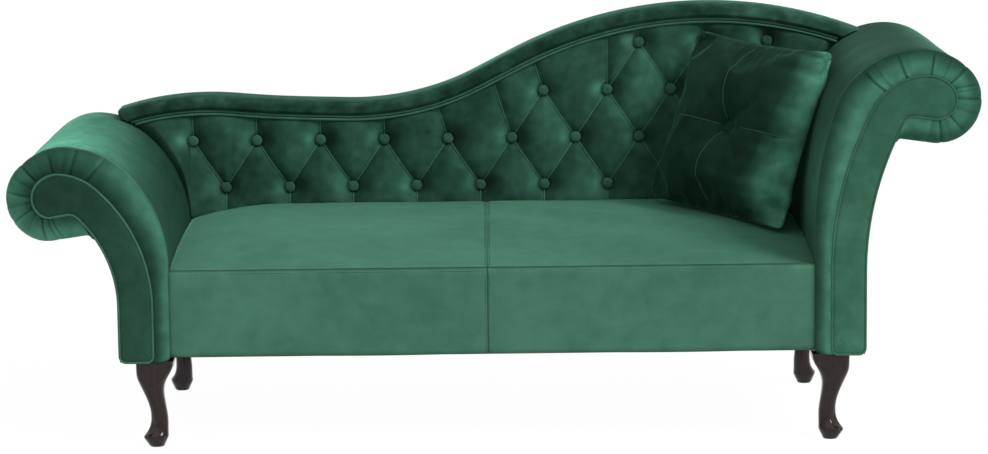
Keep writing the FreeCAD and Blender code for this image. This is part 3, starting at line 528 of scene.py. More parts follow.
def arm_cover(arm, side):
    """The padded cover of one arm as a grid: front to rear by foot to notch."""
    facing_line = scroll_outline(arm, 0.0)[:COVER_COLUMNS]
    cover_line = scroll_outline(arm, 0.0, over_facing=True)[:COVER_COLUMNS]
    across = outward_of(cover_line)
    # The roll fades out where the cover runs into the notch
    swell = rising(np.linalg.norm(cover_line - facing_line, axis=1), FACING_INSET)
    turns = quarter(ROLL_STEPS)
    relief, painted_pleat_shade = pleat_relief(arm, facing_line, cover_line, np.sin(turns))
    # The ridge behind the roll is drawn up over the scroll and dies away down the face
    drawn = swell * np.interp(np.arange(COVER_COLUMNS), DRAWN_UP[arm], (0.12, 1.0))
    rows = []
    for turn, sunk in zip(turns, relief):
        line = facing_line + (cover_line - facing_line) * math.sin(turn)
        y = ARM_FRONT + FRONT_ROLL * (1 - math.cos(turn)) - OVER_PIPING * swell * (1 - math.sin(turn))
        lift = (sunk * swell + RIDGE[0][1] * drawn * math.sin(turn) ** 2
                + ROLL_FULLNESS * swell * math.sin(2 * turn))
        rows.append(standing(line + across * (lift * math.sin(turn))[:, None], y - lift * math.cos(turn)))
    ridge_y = ARM_FRONT + FRONT_ROLL
    for distance, stand in RIDGE[1:]:
        lift = stand * drawn + relief[-1] * swell * max(0.0, 1 - distance / 12.0)
        rows.append(standing(cover_line + across * lift[:, None], ridge_y + distance))
    for y in np.linspace(ridge_y + 74.0, REAR - 14.0, 22):
        fade = 0.6 * (1 - (y - ridge_y) / 520.0)
        rows.append(standing(cover_line + across * (swell * fade)[:, None], y))
    for turn in quarter(6):
        back = REAR_ROUND * (1 - math.cos(turn)) * swell
        y = REAR - 2.0 - REAR_ROUND * (1 - math.sin(turn))
        rows.append(standing(cover_line - across * back[:, None], y))
    for share, y in ((0.6, REAR - 1.6), (0.3, REAR - 1.6), (0.04, REAR - 1.6), (0.04, REAR - 8.0)):
        rows.append(standing(facing_line + (cover_line - facing_line) * share, y))
    grid = np.array(rows)
    body = slice(ROLL_STEPS, len(rows) - 10)
    uneven = sag(grid[body], 70.0, 1.1) + sag(grid[body], 22.0, 0.35)
    grid[body, :, 0] += across[:, 0] * uneven * swell
    grid[body, :, 2] += across[:, 1] * uneven * swell
    # The cover's foot stays on the line of the arm's underside, with a rounded edge
    grid[:, 0, 2] = BASE
    face = slice(SCROLL_STEPS[0])
    inset, height = FOOT_ROUND
    near_foot = rising(BASE + height - grid[:, face, 2], height)
    grid[:, face, 0] += inset * (1 - np.sqrt(1 - near_foot ** 2))
    # Cloth has two sides; the inner one lies on the wadding
    inward = np.zeros_like(grid)
    inward[:, :, 0], inward[:, :, 2] = -across[:, 0], -across[:, 1]
    inward[:ROLL_STEPS] *= np.sin(turns)[:, None, None]
    inward[:ROLL_STEPS, :, 1] = np.cos(turns)[:, None]
    inward[-4:] *= 0.3
    inward[-4:, :, 1] = -0.8
    within = grid + inward * CLOTH * swell[None, :, None]
    within[:, 0, 2] = BASE + 1.0
    return grid * (side, 1, 1), within * (side, 1, 1), painted_pleat_shade


# Painted light and shade along the cover from the foot of the inner face to the notch, halfway back
ALONG_PAINTED_LIGHT = {
    "low_arm": ((0, 0.4), (40, 0.3), (90, 0.22), (120, 0.38), (150, 0.95), (180, 2.3), (215, 3.7), (245, 4.0),
                (276, 3.5), (300, 1.9), (396, 0.8), (438, 0.4)),
    "high_arm": ((0, 0.35), (40, 0.5), (75, 0.95), (105, 0.7), (135, 0.24), (165, 0.2), (205, 0.42), (235, 0.95),
                 (260, 1.5), (285, 1.5), (320, 1.0), (396, 0.5), (438, 0.4)),
}
# Painted light and shade over the front roll, from the piping to the ridge: down the face,
# over the scroll and round its end
FRONT_PAINTED_LIGHT = {
    "low_arm": (((0.0, 0.28), (0.15, 0.3), (0.4, 0.55), (0.65, 1.1), (0.85, 1.35), (1.0, 1.0)),
                ((0.0, 0.24), (0.2, 0.36), (0.5, 0.62), (0.75, 0.72), (0.92, 0.62), (1.0, 1.5)),
                ((0.0, 0.32), (0.2, 0.5), (0.45, 1.0), (0.7, 1.6), (0.9, 1.9), (1.0, 1.8))),
    "high_arm": (((0.0, 0.8), (0.12, 1.35), (0.3, 1.45), (0.5, 1.0), (0.75, 0.62), (1.0, 0.45)),
                 ((0.0, 1.0), (0.15, 1.6), (0.4, 1.5), (0.65, 0.85), (0.85, 0.5), (1.0, 0.4)),
                 ((0.0, 1.0), (0.15, 1.5), (0.4, 1.6), (0.65, 0.9), (0.85, 0.8), (1.0, 1.1))),
}
# How much painted shade darkens the cover towards the back, up to a place along the cover, and how soon
DARKER_BACK = {"low_arm": (((215, 0.75), (440, 0.25)), 0.8),
               "high_arm": (((190, 0.98), (235, 0.7), (440, -0.2)), 0.55)}


def arm_painted_light(arm, grid, painted_pleat_shade):
    """Painted light and shade all over one arm's cover, with painted shade in the pleats and random mottling."""
    place = np.arange(grid.shape[1])
    along = np.interp(place, *zip(*ALONG_PAINTED_LIGHT[arm]))
    scroll = rising(place - 110, 80.0)
    round_end = rising(place - 262, 40.0)
    behind = grid[:, :, 1] - ARM_FRONT - FRONT_ROLL
    stretches, sooner = DARKER_BACK[arm]
    darker = np.select([place < end for end, _ in stretches], [amount for _, amount in stretches])
    darker = np.convolve(np.pad(darker, 20, mode="edge"), np.ones(41) / 41, mode="valid")
    back = rising(behind, REAR - ARM_FRONT - FRONT_ROLL)
    shade = along[None, :] * (1.15 - darker[None, :] * back ** sooner)
    for row, turn in enumerate(quarter(ROLL_STEPS)):
        face, over, end = (float(np.interp(math.sin(turn), *zip(*stops))) for stops in FRONT_PAINTED_LIGHT[arm])
        ridge = (face + (over - face) * scroll) * (1 - round_end) + end * round_end
        # Painted shade in each pleat, and painted light beside it
        shade[row] = ridge * (1 - 0.62 * np.clip(painted_pleat_shade[row], -0.6, 1.0))
    near = dying(behind[ROLL_STEPS:], 16.0)
    shade[ROLL_STEPS:] = shade[ROLL_STEPS:] * (1 - near) + ridge * near
    return shade * (1 + 0.16 * sag(grid, 55.0) + 0.12 * sag(grid, 17.0))


# Rings of a facing's crown from its edge: inset, and how far it stands
FACING_CROWN = ((1.4, 0.4), (1.8, 3.2), (3.2, 5.2), (5.8, 6.5), (9.5, 7.3), (14.0, 7.8), (20.0, 8.0),
                (26.5, 8.0))


def facing_grid(arm, side, front):
    """A crowned panel in rings from its piped edge to the middle."""
    look = -1 if front < 0 else 1
    rings = np.array([standing(scroll_outline(arm, inset, corner=12.0 - inset * 0.35),
                               look * (abs(front) - 8.0 + rise), side) for inset, rise in FACING_CROWN])
    inner = rings[2:]
    inner[:, :, 1] += look * (sag(inner, 45.0, 0.5) * np.linspace(0.2, 1.0, len(inner))[:, None] - 0.5)
    return rings


def cord_along(line, radius, sides=14, closed=False):
    """Rings of a covered cord along a line of points."""
    line = np.asarray(line, float)
    if closed:
        along = np.roll(line, -1, axis=0) - np.roll(line, 1, axis=0)
    else:
        along = np.gradient(line, axis=0)
    along /= np.linalg.norm(along, axis=1)[:, None]
    across = np.cross(along, (0.0, 1.0, 0.0))
    across /= np.linalg.norm(across, axis=1)[:, None]
    turns = np.linspace(0, 2 * math.pi, sides, endpoint=False)[None, :, None]
    return line[:, None, :] + radius * (np.cos(turns) * across[:, None, :]
                                        + np.sin(turns) * np.cross(across, along)[:, None, :])


for arm, side in (("low_arm", -1), ("high_arm", 1)):
    grid, within, painted_pleat_shade = arm_cover(arm, side)
    cover = new_sheet(arm + "_cover", grid, within, arm_velvet)
    paint_light_and_tone(cover, arm_painted_light(arm, grid, painted_pleat_shade))
    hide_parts(arm + "_padding")

    rings = facing_grid(arm, side, FACING_FRONT)
    facing = new_tubes(arm + "_front_facing", [rings], facing_velvet)
    # Painted light and shade: the high arm's facing is lighter, the low arm's darker and darker still towards its
    # scroll
    heights, shades = {"low_arm": ((BASE, 380.0, 470.0), (0.8, 0.74, 0.5)),
                       "high_arm": ((BASE, 450.0, 640.0), (1.75, 1.6, 1.45))}[arm]
    paint_light_and_tone(facing, np.interp(rings[:, :, 2], heights, shades))
    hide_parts(arm + "_facing")

    line = standing(scroll_outline(arm, 0.0, corner=12.0)[:-1], ARM_FRONT - 3.0, side)
    rings = cord_along(line, PIPING_RADIUS, closed=True)
    faces = skin_faces(*rings.shape[:2], closed_rows=True, closed_columns=True)
    piping = new_piece(arm + "_front_piping", rings.reshape(-1, 3), faces, piping_velvet)
    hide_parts(arm + "_facing_piping")

    # Thin wadding and cloth on the outside of the stem, up to the notch
    stem = scroll_outline(arm, 0.0)[COVER_COLUMNS - 3:]
    outer, inner = [], []
    for y in np.concatenate([[ARM_FRONT + 0.4], np.linspace(ARM_FRONT + 3, REAR - 3, 40), [REAR - 0.4]]):
        rise = 1.2 * (1 - math.exp(-min(y - ARM_FRONT, REAR - y) / 8.0)) - 0.2
        outer.append(standing(stem + outward_of(stem) * rise, y, side))
        inner.append(standing(stem - outward_of(stem) * 2.6, y, side))
    outside = new_sheet(arm + "_outside_cover", np.array(outer), np.array(inner), facing_velvet)
    paint_light_and_tone(outside, 0.8)
    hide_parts(arm + "_outside_panel")

    rings = facing_grid(arm, side, REAR)
    rings[:, :, 1] = REAR - 4.0 + (rings[:, :, 1] - (REAR - 8.0)) * 0.45
    rear = new_tubes(arm + "_back_cover", [rings], facing_velvet)
    paint_light_and_tone(rear, 0.9)
    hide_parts(arm + "_rear_cover")


# The seat.  A fixed, crowned seat of foam on webbing in a tight cover, that falls away
# towards both arms; its front border hangs to the underside.  The two are sewn together
# along the front edge, and one seam runs over the middle of both, topstitched both sides.
# The seat's and the border's copies of the velvet are lighter than the arm's: painted light.
seat_velvet = velvet("seat_velvet", (0.057, 0.168, 0.11), (0.0752, 0.212, 0.139),
                     nap=(1.0, 1.2, 1.2), sheen=0.45)
border_velvet = velvet("border_velvet", (0.0536, 0.16, 0.102), (0.0707, 0.2, 0.13),
                       nap=(1.0, 1.0, 1.2), sheen=0.4)
stitch_thread = velvet("stitch_thread", (0.00912, 0.035, 0.023), (0.016, 0.055, 0.037), sheen=0.1, takes_painted_light=False)
SEAM_HEIGHT = 335.0
SEAM_X = -8.0
SEAT_END = 354.0             # height of the seat's back edge at the arms
SEAT_CROWN = 384.0
END_RUN = 190.0
SEAT_UNDER = 290.6
BORDER_BACK = -282.3


def seat_height(x, y):
    """Height of the seat's top at a place on it."""
    fall = (1 - rising(SEAT_HALF - np.abs(x), END_RUN)) ** 2
    back_edge = SEAT_CROWN - (SEAT_CROWN - SEAT_END) * fall
    share = (y - (SEAT_FRONT + 5)) / (SEAT_BACK - SEAT_FRONT - 5)
    return SEAM_HEIGHT - 2 * fall + (back_edge - SEAM_HEIGHT + 2 * fall) * share + 40 * share * (1 - share)


def seam_groove(x):
    """How far the middle seam draws the cloth in."""
    return dying(np.abs(x - SEAM_X), 1.6) * 2.4 + bell(x - SEAM_X, 12.0)


# Points lie close together at the rounded edges and at the seam
edge_steps = np.array([0, 0.8, 2.2, 4.5, 8, 12.5])
seat_x = np.concatenate([edge_steps - SEAT_HALF, np.linspace(-580, -22, 70), np.linspace(-17, 1, 25),
                         np.linspace(8, 580, 72), SEAT_HALF - edge_steps[::-1]])
top_y = np.concatenate([[-282, -281.7, -280.6, -278.6, -275.4, -271], np.linspace(-264, 222, 66),
                        [227, 230, 231.6, 232]])
x, y = np.meshgrid(seat_x, top_y)
from_arm = SEAT_HALF - np.abs(x)
rounding = 5.0 * dying(y + 282.0, 5.0) + 4.0 * dying(232.0 - y, 5.0) + 6.5 * dying(from_arm, 4.2)
top = strung(x, y, seat_height(x, y) - rounding - seam_groove(x))
top[2:-2, 2:-2, 2] += sag(top[2:-2, 2:-2], 120.0, 1.6)
seat_cover = new_sheet("seat_cover", top, strung(x, y, SEAT_UNDER), seat_velvet)
# Painted shade darkens the seat near the arms, more at the right one, towards the back and a little towards the
# right, with random mottling; painted shade also lies in the middle seam and the front seam, with a painted
# highlight just behind the front one
darker = (0.3 * (1 - rising(from_arm, 90.0)) * np.where(x > 0, 1.0, 0.4)
          + 0.25 * (1 - rising(SEAT_BACK - y, 70.0)) + 0.1 * rising(x, SEAT_HALF))
pile_and_painted_light = 1.02 - darker + 0.1 * sag(top, 140.0) + 0.08 * sag(top, 38.0)
pile_and_painted_light *= 1 - 0.55 * dying(np.abs(x - SEAM_X), 1.6)
pile_and_painted_light *= np.interp(y, (-282.0, -280.0, -276.0, -268.0), (0.4, 0.9, 1.12, 1.0))
paint_light_and_tone(seat_cover, pile_and_painted_light)
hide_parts("seat_cushion")

border_z = np.concatenate([[170.2, 170.8, 172.4, 175.5, 181], np.linspace(190, 318, 34),
                           [324, 328.5, 331.5, 333.4, 334.6]])
x, z = np.meshgrid(seat_x, border_z)
rounding = (3.6 * dying(z - 170.0, 3.0) + 4.4 * dying(SEAM_HEIGHT - z, 3.4)
            + 4.6 * dying(SEAT_HALF - np.abs(x), 4.0))
border = strung(x, SEAT_FRONT + rounding + seam_groove(x) * 0.9, z)
border[3:-3, 3:-3, 1] += sag(border[3:-3, 3:-3], 90.0)
# The lower edge waves a little between its staples
border[:, :, 2] += rising(192.0 - z, 20.0) * (0.9 + 1.1 * np.sin(x / 88.0 + 0.8))
front_border = new_sheet("seat_front_border", border, strung(x, BORDER_BACK, border[:, :, 2]), border_velvet)
# The top of the border is turned in to the seam. Painted shade darkens that seam, the
# lower edge and the middle seam, with painted light bands beside the two seams; random mottling too
pile_and_painted_light = 0.97 + 0.07 * sag(border, 110.0) + 0.08 * sag(border, 30.0)
pile_and_painted_light *= np.interp(border[:, :, 2], (170.0, 174.0, 180.0, 318.0, 325.0, 329.0, 332.0, 334.6),
                  (0.6, 0.85, 1.0, 1.0, 1.05, 1.2, 0.8, 0.3))
pile_and_painted_light *= 1 - 0.55 * dying(np.abs(x - SEAM_X), 1.6) + 0.2 * bell(x - SEAM_X - 3.5, 2.0)
paint_light_and_tone(front_border, pile_and_painted_light)
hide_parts("seat_front_panel")

STITCH_LENGTH = 3.2
STITCH_SPACE = 5.6
THREAD_RADIUS = 0.55
stitch_x = np.linspace(-SEAT_HALF + 8, SEAT_HALF - 8, 400)
stitch_lines = [strung(stitch_x, SEAT_FRONT + 0.7 + 0.9 * seam_groove(stitch_x), 327.2)]
for beside in (SEAM_X - 4.0, SEAM_X + 4.0):
    stitch_lines.append(strung(beside, SEAT_FRONT + 0.9 * seam_groove(beside) - 0.1, np.linspace(173, 322, 60)))
    y = np.linspace(-274, 226, 120)
    stitch_lines.append(strung(beside, y, seat_height(beside, y) - seam_groove(beside) + 0.35))
stitches = []
for line in stitch_lines:
    along = lengths_along(line)
    for start in np.arange(1.5, along[-1] - STITCH_LENGTH, STITCH_SPACE):
        places = start + np.array([0.0, 0.5, 1.0]) * STITCH_LENGTH
        thread = np.stack([np.interp(places, along, line[:, axis]) for axis in range(3)], axis=1)
        thread[1] += (0.0, -0.3, 0.3)
        rings = cord_along(thread, THREAD_RADIUS, sides=6)
        for ring in (rings[0], rings[2]):
            ring[:] = ring.mean(axis=0) + (ring - ring.mean(axis=0)) * 0.4
        stitches.append(rings)
seat_stitches = new_tubes("seat_stitches", stitches, stitch_thread)


# The back.  Deep-buttoned foam on a board: covered buttons pull the cloth in at the
# corners of diamonds, and folded pleats run between them, down to the seat and up to the
# band.  The folded edges lie in the valleys as fine lines, painted lighter as a highlight.
# The back's copy of the velvet is darker: painted shade.
back_velvet = velvet("back_velvet", (0.0182, 0.062, 0.041), (0.0342, 0.106, 0.071), sheen=0.35)
fold_velvet = velvet("fold_velvet", (0.0627, 0.17, 0.118), (0.0912, 0.24, 0.165), sheen=0.5, takes_painted_light=False)
button_velvet = velvet("button_velvet", (0.0251, 0.08, 0.053), (0.0433, 0.13, 0.086), nap=(3.0, 3.0, 3.0),
                       sheen=0.5, takes_painted_light=False)
BACK_FRONT = 233.0
BACK_REACH = 742.0           # how far the back's top line reaches to either side
BAND_HEIGHT = 28.5
CROWN = (430.0, 773.0, 850.0)  # the top line's crown: place, height and radius
HUMP_RADIUS = 650.0          # its low swell over the left end


def top_trace(inset):
    """The back's top line from its right end over the crown and the slope to its left end."""
    crown_x, crown_top, crown_radius = CROWN
    turn = math.asin((BACK_REACH - crown_x) / crown_radius)
    radius = crown_radius - inset
    trace = Trace(crown_x + radius * math.sin(turn), crown_top - crown_radius + radius * math.cos(turn),
                  180 - math.degrees(turn))
    trace.bend(radius, math.degrees(turn) + 27.0, 130)
    trace.run(83.5, 16)
    trace.bend(500.0 + inset, -30.5, 50)
    trace.run(218.0, 40)
    hump_x = trace.points[-1][0] - (HUMP_RADIUS - inset) * math.sin(math.radians(3.5))
    trace.bend(HUMP_RADIUS - inset, 3.5 + math.degrees(math.asin((BACK_REACH + hump_x) / HUMP_RADIUS)), 60)
    line = np.array(trace.points)
    # Padding lies thinner over the low end than on the slope
    line[:, 1] -= 5.5 * bell(line[:, 0] + 430.0, 150.0)
    return line


under_band = top_trace(BAND_HEIGHT)[::-1]
arm_faces = {arm: scroll_outline(arm, 0.0, over_facing=True)[:sum(SCROLL_STEPS[:3]) + 1] for arm in CRESTS}


def band_underside(x):
    return np.interp(x, under_band[:, 0], under_band[:, 1])


def arm_top_at(x):
    """Height of the arm's inner face or crest at a place over it, and nought between the arms."""
    line = arm_faces["low_arm" if x < 0 else "high_arm"][SCROLL_STEPS[0]:]
    return 0.0 if abs(x) <= INNER_X else float(np.interp(abs(x), line[:, 0], line[:, 1]))


def arm_face_at(x_side, z):
    """How far the arm's inner face is from the middle at a height."""
    line = arm_faces["low_arm" if x_side < 0 else "high_arm"]
    return float(np.interp(z, line[:, 1], line[:, 0]))


PITCH_X = 127.0
PITCH_Z = 94.0
BUTTON_ROWS = (414.0, 508.0, 602.0, 696.0)
buttons = []
for row, z in enumerate(BUTTON_ROWS):
    for step in range(-6, 7):
        x = 43.0 + (0.0 if row % 2 else PITCH_X / 2) + step * PITCH_X
        if arm_face_at(x, z) - abs(x) > 12.0 and band_underside(x) - z > 24.0:
            buttons.append((x, z))

# Each fold runs from a button to a higher one, to the band or down behind the seat
known = {(round(x), round(z)): (x, z) for x, z in buttons}
folds = []
for x, z in buttons:
    above = [known.get((round(x + side * PITCH_X / 2), round(z + PITCH_Z))) for side in (-1, 1)]
    folds += [((x, z), place) for place in above if place]
    if not above[0] and (round(x), round(z + 2 * PITCH_Z)) not in known:
        slope = float(band_underside(x + PITCH_X / 2) - band_underside(x - PITCH_X / 2))
        lean = math.tan(math.radians(15.0)) if slope > PITCH_X / 4 else 0.0
        top_x = x - lean * (float(band_underside(x)) - z)
        folds.append(((x, z), (top_x, float(band_underside(top_x)) - 2.0)))
    if z == BUTTON_ROWS[0]:
        folds.append(((x, z), (x, z - 60.0)))


def back_relief(x, z):
    """How far forward the buttoned cloth stands at places on the back."""
    nearest = np.full(x.shape, 1e3)
    for (start_x, start_z), (end_x, end_z) in folds:
        run_x, run_z = end_x - start_x, end_z - start_z
        share = np.clip(((x - start_x) * run_x + (z - start_z) * run_z) / (run_x ** 2 + run_z ** 2), 0.0, 1.0)
        nearest = np.minimum(nearest, np.hypot(x - start_x - share * run_x, z - start_z - share * run_z))
    from_button = np.minimum.reduce([np.hypot(x - button_x, z - button_z) for button_x, button_z in buttons])
    puff = 6.0 * (1 - np.exp(-(nearest / 22.0) ** 1.25))
    valley = 2.6 * np.exp(-(nearest / 4.0) ** 1.3) + 1.6 * bell(nearest, 12.0)
    tuft = 6.0 * bell(from_button, 17.0) + 7.5 * np.exp(-(from_button / 32.0) ** 1.4)
    return puff - valley - tuft


BACK_GRID = (112, 440)
BOARD_FRONT = 266.6
grid = np.zeros((*BACK_GRID, 3))
for column, x in enumerate(np.linspace(-714.0, 692.0, BACK_GRID[1])):
    high = float(band_underside(x)) - 1.0
    low = min(max(289.0, arm_top_at(x) + 2.0), high - 4.0)
    grid[:, column] = strung(x, BACK_FRONT, np.linspace(low, high, BACK_GRID[0]))
x, z = grid[:, :, 0], grid[:, :, 2]
relief = back_relief(x, z)
under_top = np.sin(rising(z[-1:] - z, 26.0) * math.pi / 2)
relief = np.where(relief > -2.0, -2.0 + (relief + 2.0) * under_top, relief)
from_arm = rising(z - np.array([arm_top_at(place) for place in x[0]]), 30.0)
relief = relief * from_arm - 8.0 * (1 - from_arm) ** 2
over_seat = np.sin(rising(z - seat_height(x, SEAT_BACK) + 1.5, 8.0) * math.pi / 2)
relief = np.where(relief > 2.5, 2.5 + (relief - 2.5) * over_seat, relief)
grid[:, :, 1] -= relief
back_pad = new_sheet("buttoned_back", grid, strung(x, BOARD_FRONT, z), back_velvet)
# Painted light and shade: the cloth is painted lighter or darker by its slope, lighter left of each button and
# darker right of it, dark round each button's rim and lighter right of the middle, with random mottling
across_slope = np.gradient(relief, axis=1) / np.gradient(x, axis=1)
up_slope = np.gradient(relief, axis=0) / np.maximum(np.gradient(z, axis=0), 0.2)
back_painted_light = -0.5 * np.clip(across_slope, -0.4, 0.4) + 0.5 * np.clip(up_slope, -0.3, 0.3)
for number, (button_x, button_z) in enumerate(buttons):
    aside, above = x - button_x, z - button_z
    back_painted_light += (0.55 + 0.2 * math.sin(number * 2.3)) * bell(aside + 24.0, 15.0) * bell(above - 2.0, 17.0)
    back_painted_light -= (0.7 + 0.25 * math.sin(number * 1.9)) * bell(aside - 23.0, 15.0) * bell(above - 6.0, 19.0)
    back_painted_light -= 0.9 * bell(np.hypot(aside, above) - 12.0, 2.4)
back_painted_light += 0.35 * bell(x - 300.0, 55.0) * bell(z - 640.0, 90.0)
pile_and_painted_light = np.exp(back_painted_light) * (1 + 0.4 * sag(grid, 70.0) + 0.25 * sag(grid, 16.0))
paint_light_and_tone(back_pad, pile_and_painted_light)
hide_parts("back_pad")

edges = []
for start, end in folds:
    x, z = np.linspace(start, end, 26).T
    edges.append(cord_along(strung(x, BACK_FRONT - back_relief(x, z) - 1.8, z), 0.7, sides=8))
fold_edges = new_tubes("pleat_folds", edges, fold_velvet)

BUTTON_RADIUS = 10.6
BUTTON_TURNS = np.linspace(0, 2 * math.pi, 28, endpoint=False)
# A covered button from its seat to the middle of its dome: share of radius, height
BUTTON_DOME = ((0.9, -3.0), (0.97, 0.0), (1.0, 1.2), (0.98, 2.4), (0.9, 3.5), (0.76, 4.3), (0.52, 4.9),
               (0.26, 5.2), (0.08, 5.25))


def button_rings(radius, uneven=1.0):
    """A covered button about nought, as rings of points that rise along the last axis."""
    around = radius * uneven * np.array([np.cos(BUTTON_TURNS), np.sin(BUTTON_TURNS)])
    return np.array([strung(*(around * share), height) for share, height in BUTTON_DOME])


domes = []
rim = np.linspace(0, 2 * math.pi, 16, endpoint=False)
for number, (x, z) in enumerate(buttons):
    around = back_relief(x + BUTTON_RADIUS * np.cos(rim), z + BUTTON_RADIUS * np.sin(rim))
    uneven = 1 + 0.012 * np.sin(3 * BUTTON_TURNS + number) + 0.01 * np.sin(5 * BUTTON_TURNS + 2 * number)
    dome = button_rings(BUTTON_RADIUS, uneven)
    seat_y = BACK_FRONT - float(around.mean()) - 0.4
    domes.append(strung(x + dome[:, :, 0], seat_y - dome[:, :, 2], z + dome[:, :, 1]))
covered_buttons = new_tubes("covered_buttons", domes, button_velvet)
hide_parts("back_buttons")


# The band over the back.  A padded, covered board follows the top line, stands a little
# proud of the buttoning and sits over the arms at both ends; two cords are sewn under it.
# The band's copy of the velvet is darker: painted shade.
band_velvet = velvet("band_velvet", (0.0148, 0.05, 0.033), (0.0319, 0.1, 0.067), sheen=0.35)
BAND_FRONT = 224.0
BAND_MIDDLE = 262.0
BAND_TOP_ROUND = (11.0, 24.0)        # down and back
BAND_LOW_ROUND = 3.5
BAND_REAR_ROUNDS = (2.0, 6.0)        # below and above
WELT_INSETS = (31.2, 37.4)
WELT_RADIUS = 2.5
WELT_Y = 229.6


def band_ring(reach):
    """Round the band at one place, as distances down from the top line and depths."""
    down, back = BAND_TOP_ROUND
    below, above = BAND_REAR_ROUNDS
    ring = [(min(down * (1 - math.sin(turn)), reach * 0.5), BAND_FRONT + back * (1 - math.cos(turn)) - 0.6)
            for turn in quarter(9)[::-1]]
    ring += [(reach * share, BAND_FRONT - 0.6 - 0.8 * math.sin((share - 0.4) / 0.6 * math.pi))
             for share in (0.52, 0.64, 0.76, 0.86)]
    ring += [(reach - BAND_LOW_ROUND * (1 - math.sin(turn)), BAND_FRONT + BAND_LOW_ROUND * (1 - math.cos(turn)))
             for turn in quarter(5)]
    ring.append((reach, BAND_MIDDLE))
    ring += [(reach - below * (1 - math.cos(turn)), REAR - 0.4 - below * (1 - math.sin(turn)))
             for turn in quarter(5)]
    ring.append((reach * 0.5, REAR - 0.2))
    ring += [(min(above, reach * 0.4) * (1 - math.sin(turn)), REAR - above * (1 - math.cos(turn)))
             for turn in quarter(5)]
    ring.append((0.0, BAND_MIDDLE))
    return np.array(ring)


upper = top_trace(0.0)
rows = []
for top, bottom in zip(upper, top_trace(BAND_HEIGHT)):
    span = np.linalg.norm(bottom - top)
    down = (bottom - top) / span
    # Over an arm the band is only as high as the room above it
    reach = span
    for _ in range(40):
        point = top + down * reach
        if abs(point[0]) <= INNER_X or point[1] > arm_top_at(point[0]) + 0.8 or reach < 4:
            break
        reach -= span / 40
    ring = band_ring(reach)
    rows.append(strung(top[0] + down[0] * ring[:, 0], ring[:, 1], top[1] + down[1] * ring[:, 0]))
rings = np.array(rows)
# Rounded ends
lengths = lengths_along(upper)
from_end = np.minimum(lengths, lengths[-1] - lengths)
shrink = np.sqrt(1 - (1 - np.clip(from_end / 7.0, 0.02, 1)) ** 2)
middle = rings.mean(axis=1, keepdims=True)
rings = middle + (rings - middle) * (0.55 + 0.45 * shrink)[:, None, None]
rings[:, :, 1] += sag(rings, 40.0, 0.9)
band = new_tubes("top_band", [rings], band_velvet)
# Painted lighter towards the right, and mottled at random
paint_light_and_tone(band, (0.72 + 0.42 * rising(rings[:, :, 0] - 330.0, 260.0))
         * np.exp(0.6 * sag(rings, 30.0) + 0.4 * sag(rings, 11.0)))
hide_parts("top_rail")

welts = []
for inset in WELT_INSETS:
    line = np.array([(x, z) for x, z in top_trace(inset)
                     if -716 < x < 694 and (abs(x) <= INNER_X or z > arm_top_at(x) + 3.0)])
    welts.append(cord_along(standing(line, WELT_Y), WELT_RADIUS, sides=12))
band_welts = new_tubes("band_welts", welts, piping_velvet)
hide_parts("top_rail_piping")


# The outside back.  One stretched panel of the same cloth over thin wadding closes the
# rear from the band down to the underside of the seat.
OUTSIDE_GRID = (44, 150)
OUTSIDE_ENDS = (-715.0, 693.0)
outside = np.zeros((*OUTSIDE_GRID, 3))
for column, x in enumerate(np.linspace(*OUTSIDE_ENDS, OUTSIDE_GRID[1])):
    low = 170.5 if abs(x) < INNER_X - 0.5 else arm_top_at(x) + 1.2
    high = float(band_underside(x)) - 0.8
    outside[:, column] = strung(x, 0.0, np.linspace(min(low, high - 3), high, OUTSIDE_GRID[0]))
x, z = outside[:, :, 0], outside[:, :, 2]
edge = np.minimum.reduce([z - z[:1], z[-1:] - z, x - OUTSIDE_ENDS[0], OUTSIDE_ENDS[1] - x])
outside[:, :, 1] = REAR - 3.0 + 2.6 * (1 - dying(edge, 7.0)) + sag(outside, 130.0, 0.8) * rising(edge, 40)
outer_back = new_sheet("outside_back_cover", outside, strung(x, 301.2, z), band_velvet)
paint_light_and_tone(outer_back, 1.1)
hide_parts("outside_back")


# The scatter cushion.  Two squares of velvet sewn round the edge and stuffed; a covered
# button in the middle pulls both sides in, with four drawn lines running out from it.
# The cushion's copy of the velvet is the darkest: painted shade.
cushion_velvet = velvet("cushion_velvet", (0.0103, 0.036, 0.024), (0.0182, 0.062, 0.041), sheen=0.18)
CUSHION_HALF = 175.0
CUSHION_THICKNESS = 112.0
CUSHION_CENTRE = (481.0, 70.0, 539.2)
CUSHION_TILT = math.radians(5.5)
CUSHION_LEAN = math.radians(18.0)
CUSHION_TURN = math.radians(45.0)
CUSHION_CELLS = 72
CUSHION_BUTTON_RADIUS = 12.0
STUFFING_FRAMES = 30


def flat_cushion(height):
    """Both sides of the cushion before it is stuffed; its edge points are shared."""
    steps = np.linspace(-1, 1, CUSHION_CELLS + 1)
    points, index = [], {}
    for layer in (1, -1):
        for row, v in enumerate(steps):
            for column, u in enumerate(steps):
                if layer < 0 and (row in (0, CUSHION_CELLS) or column in (0, CUSHION_CELLS)):
                    index[layer, row, column] = index[1, row, column]
                    continue
                index[layer, row, column] = len(points)
                points.append((u * CUSHION_HALF, v * CUSHION_HALF,
                               layer * height * ((1 - u ** 2) * (1 - v ** 2)) ** 0.5))
    faces = []
    for layer in (1, -1):
        for row in range(CUSHION_CELLS):
            for column in range(CUSHION_CELLS):
                face = [index[layer, row + up, column + over] for up, over in ((0, 0), (0, 1), (1, 1), (1, 0))]
                faces.append(tuple(face[::layer]))
    return np.array(points), faces


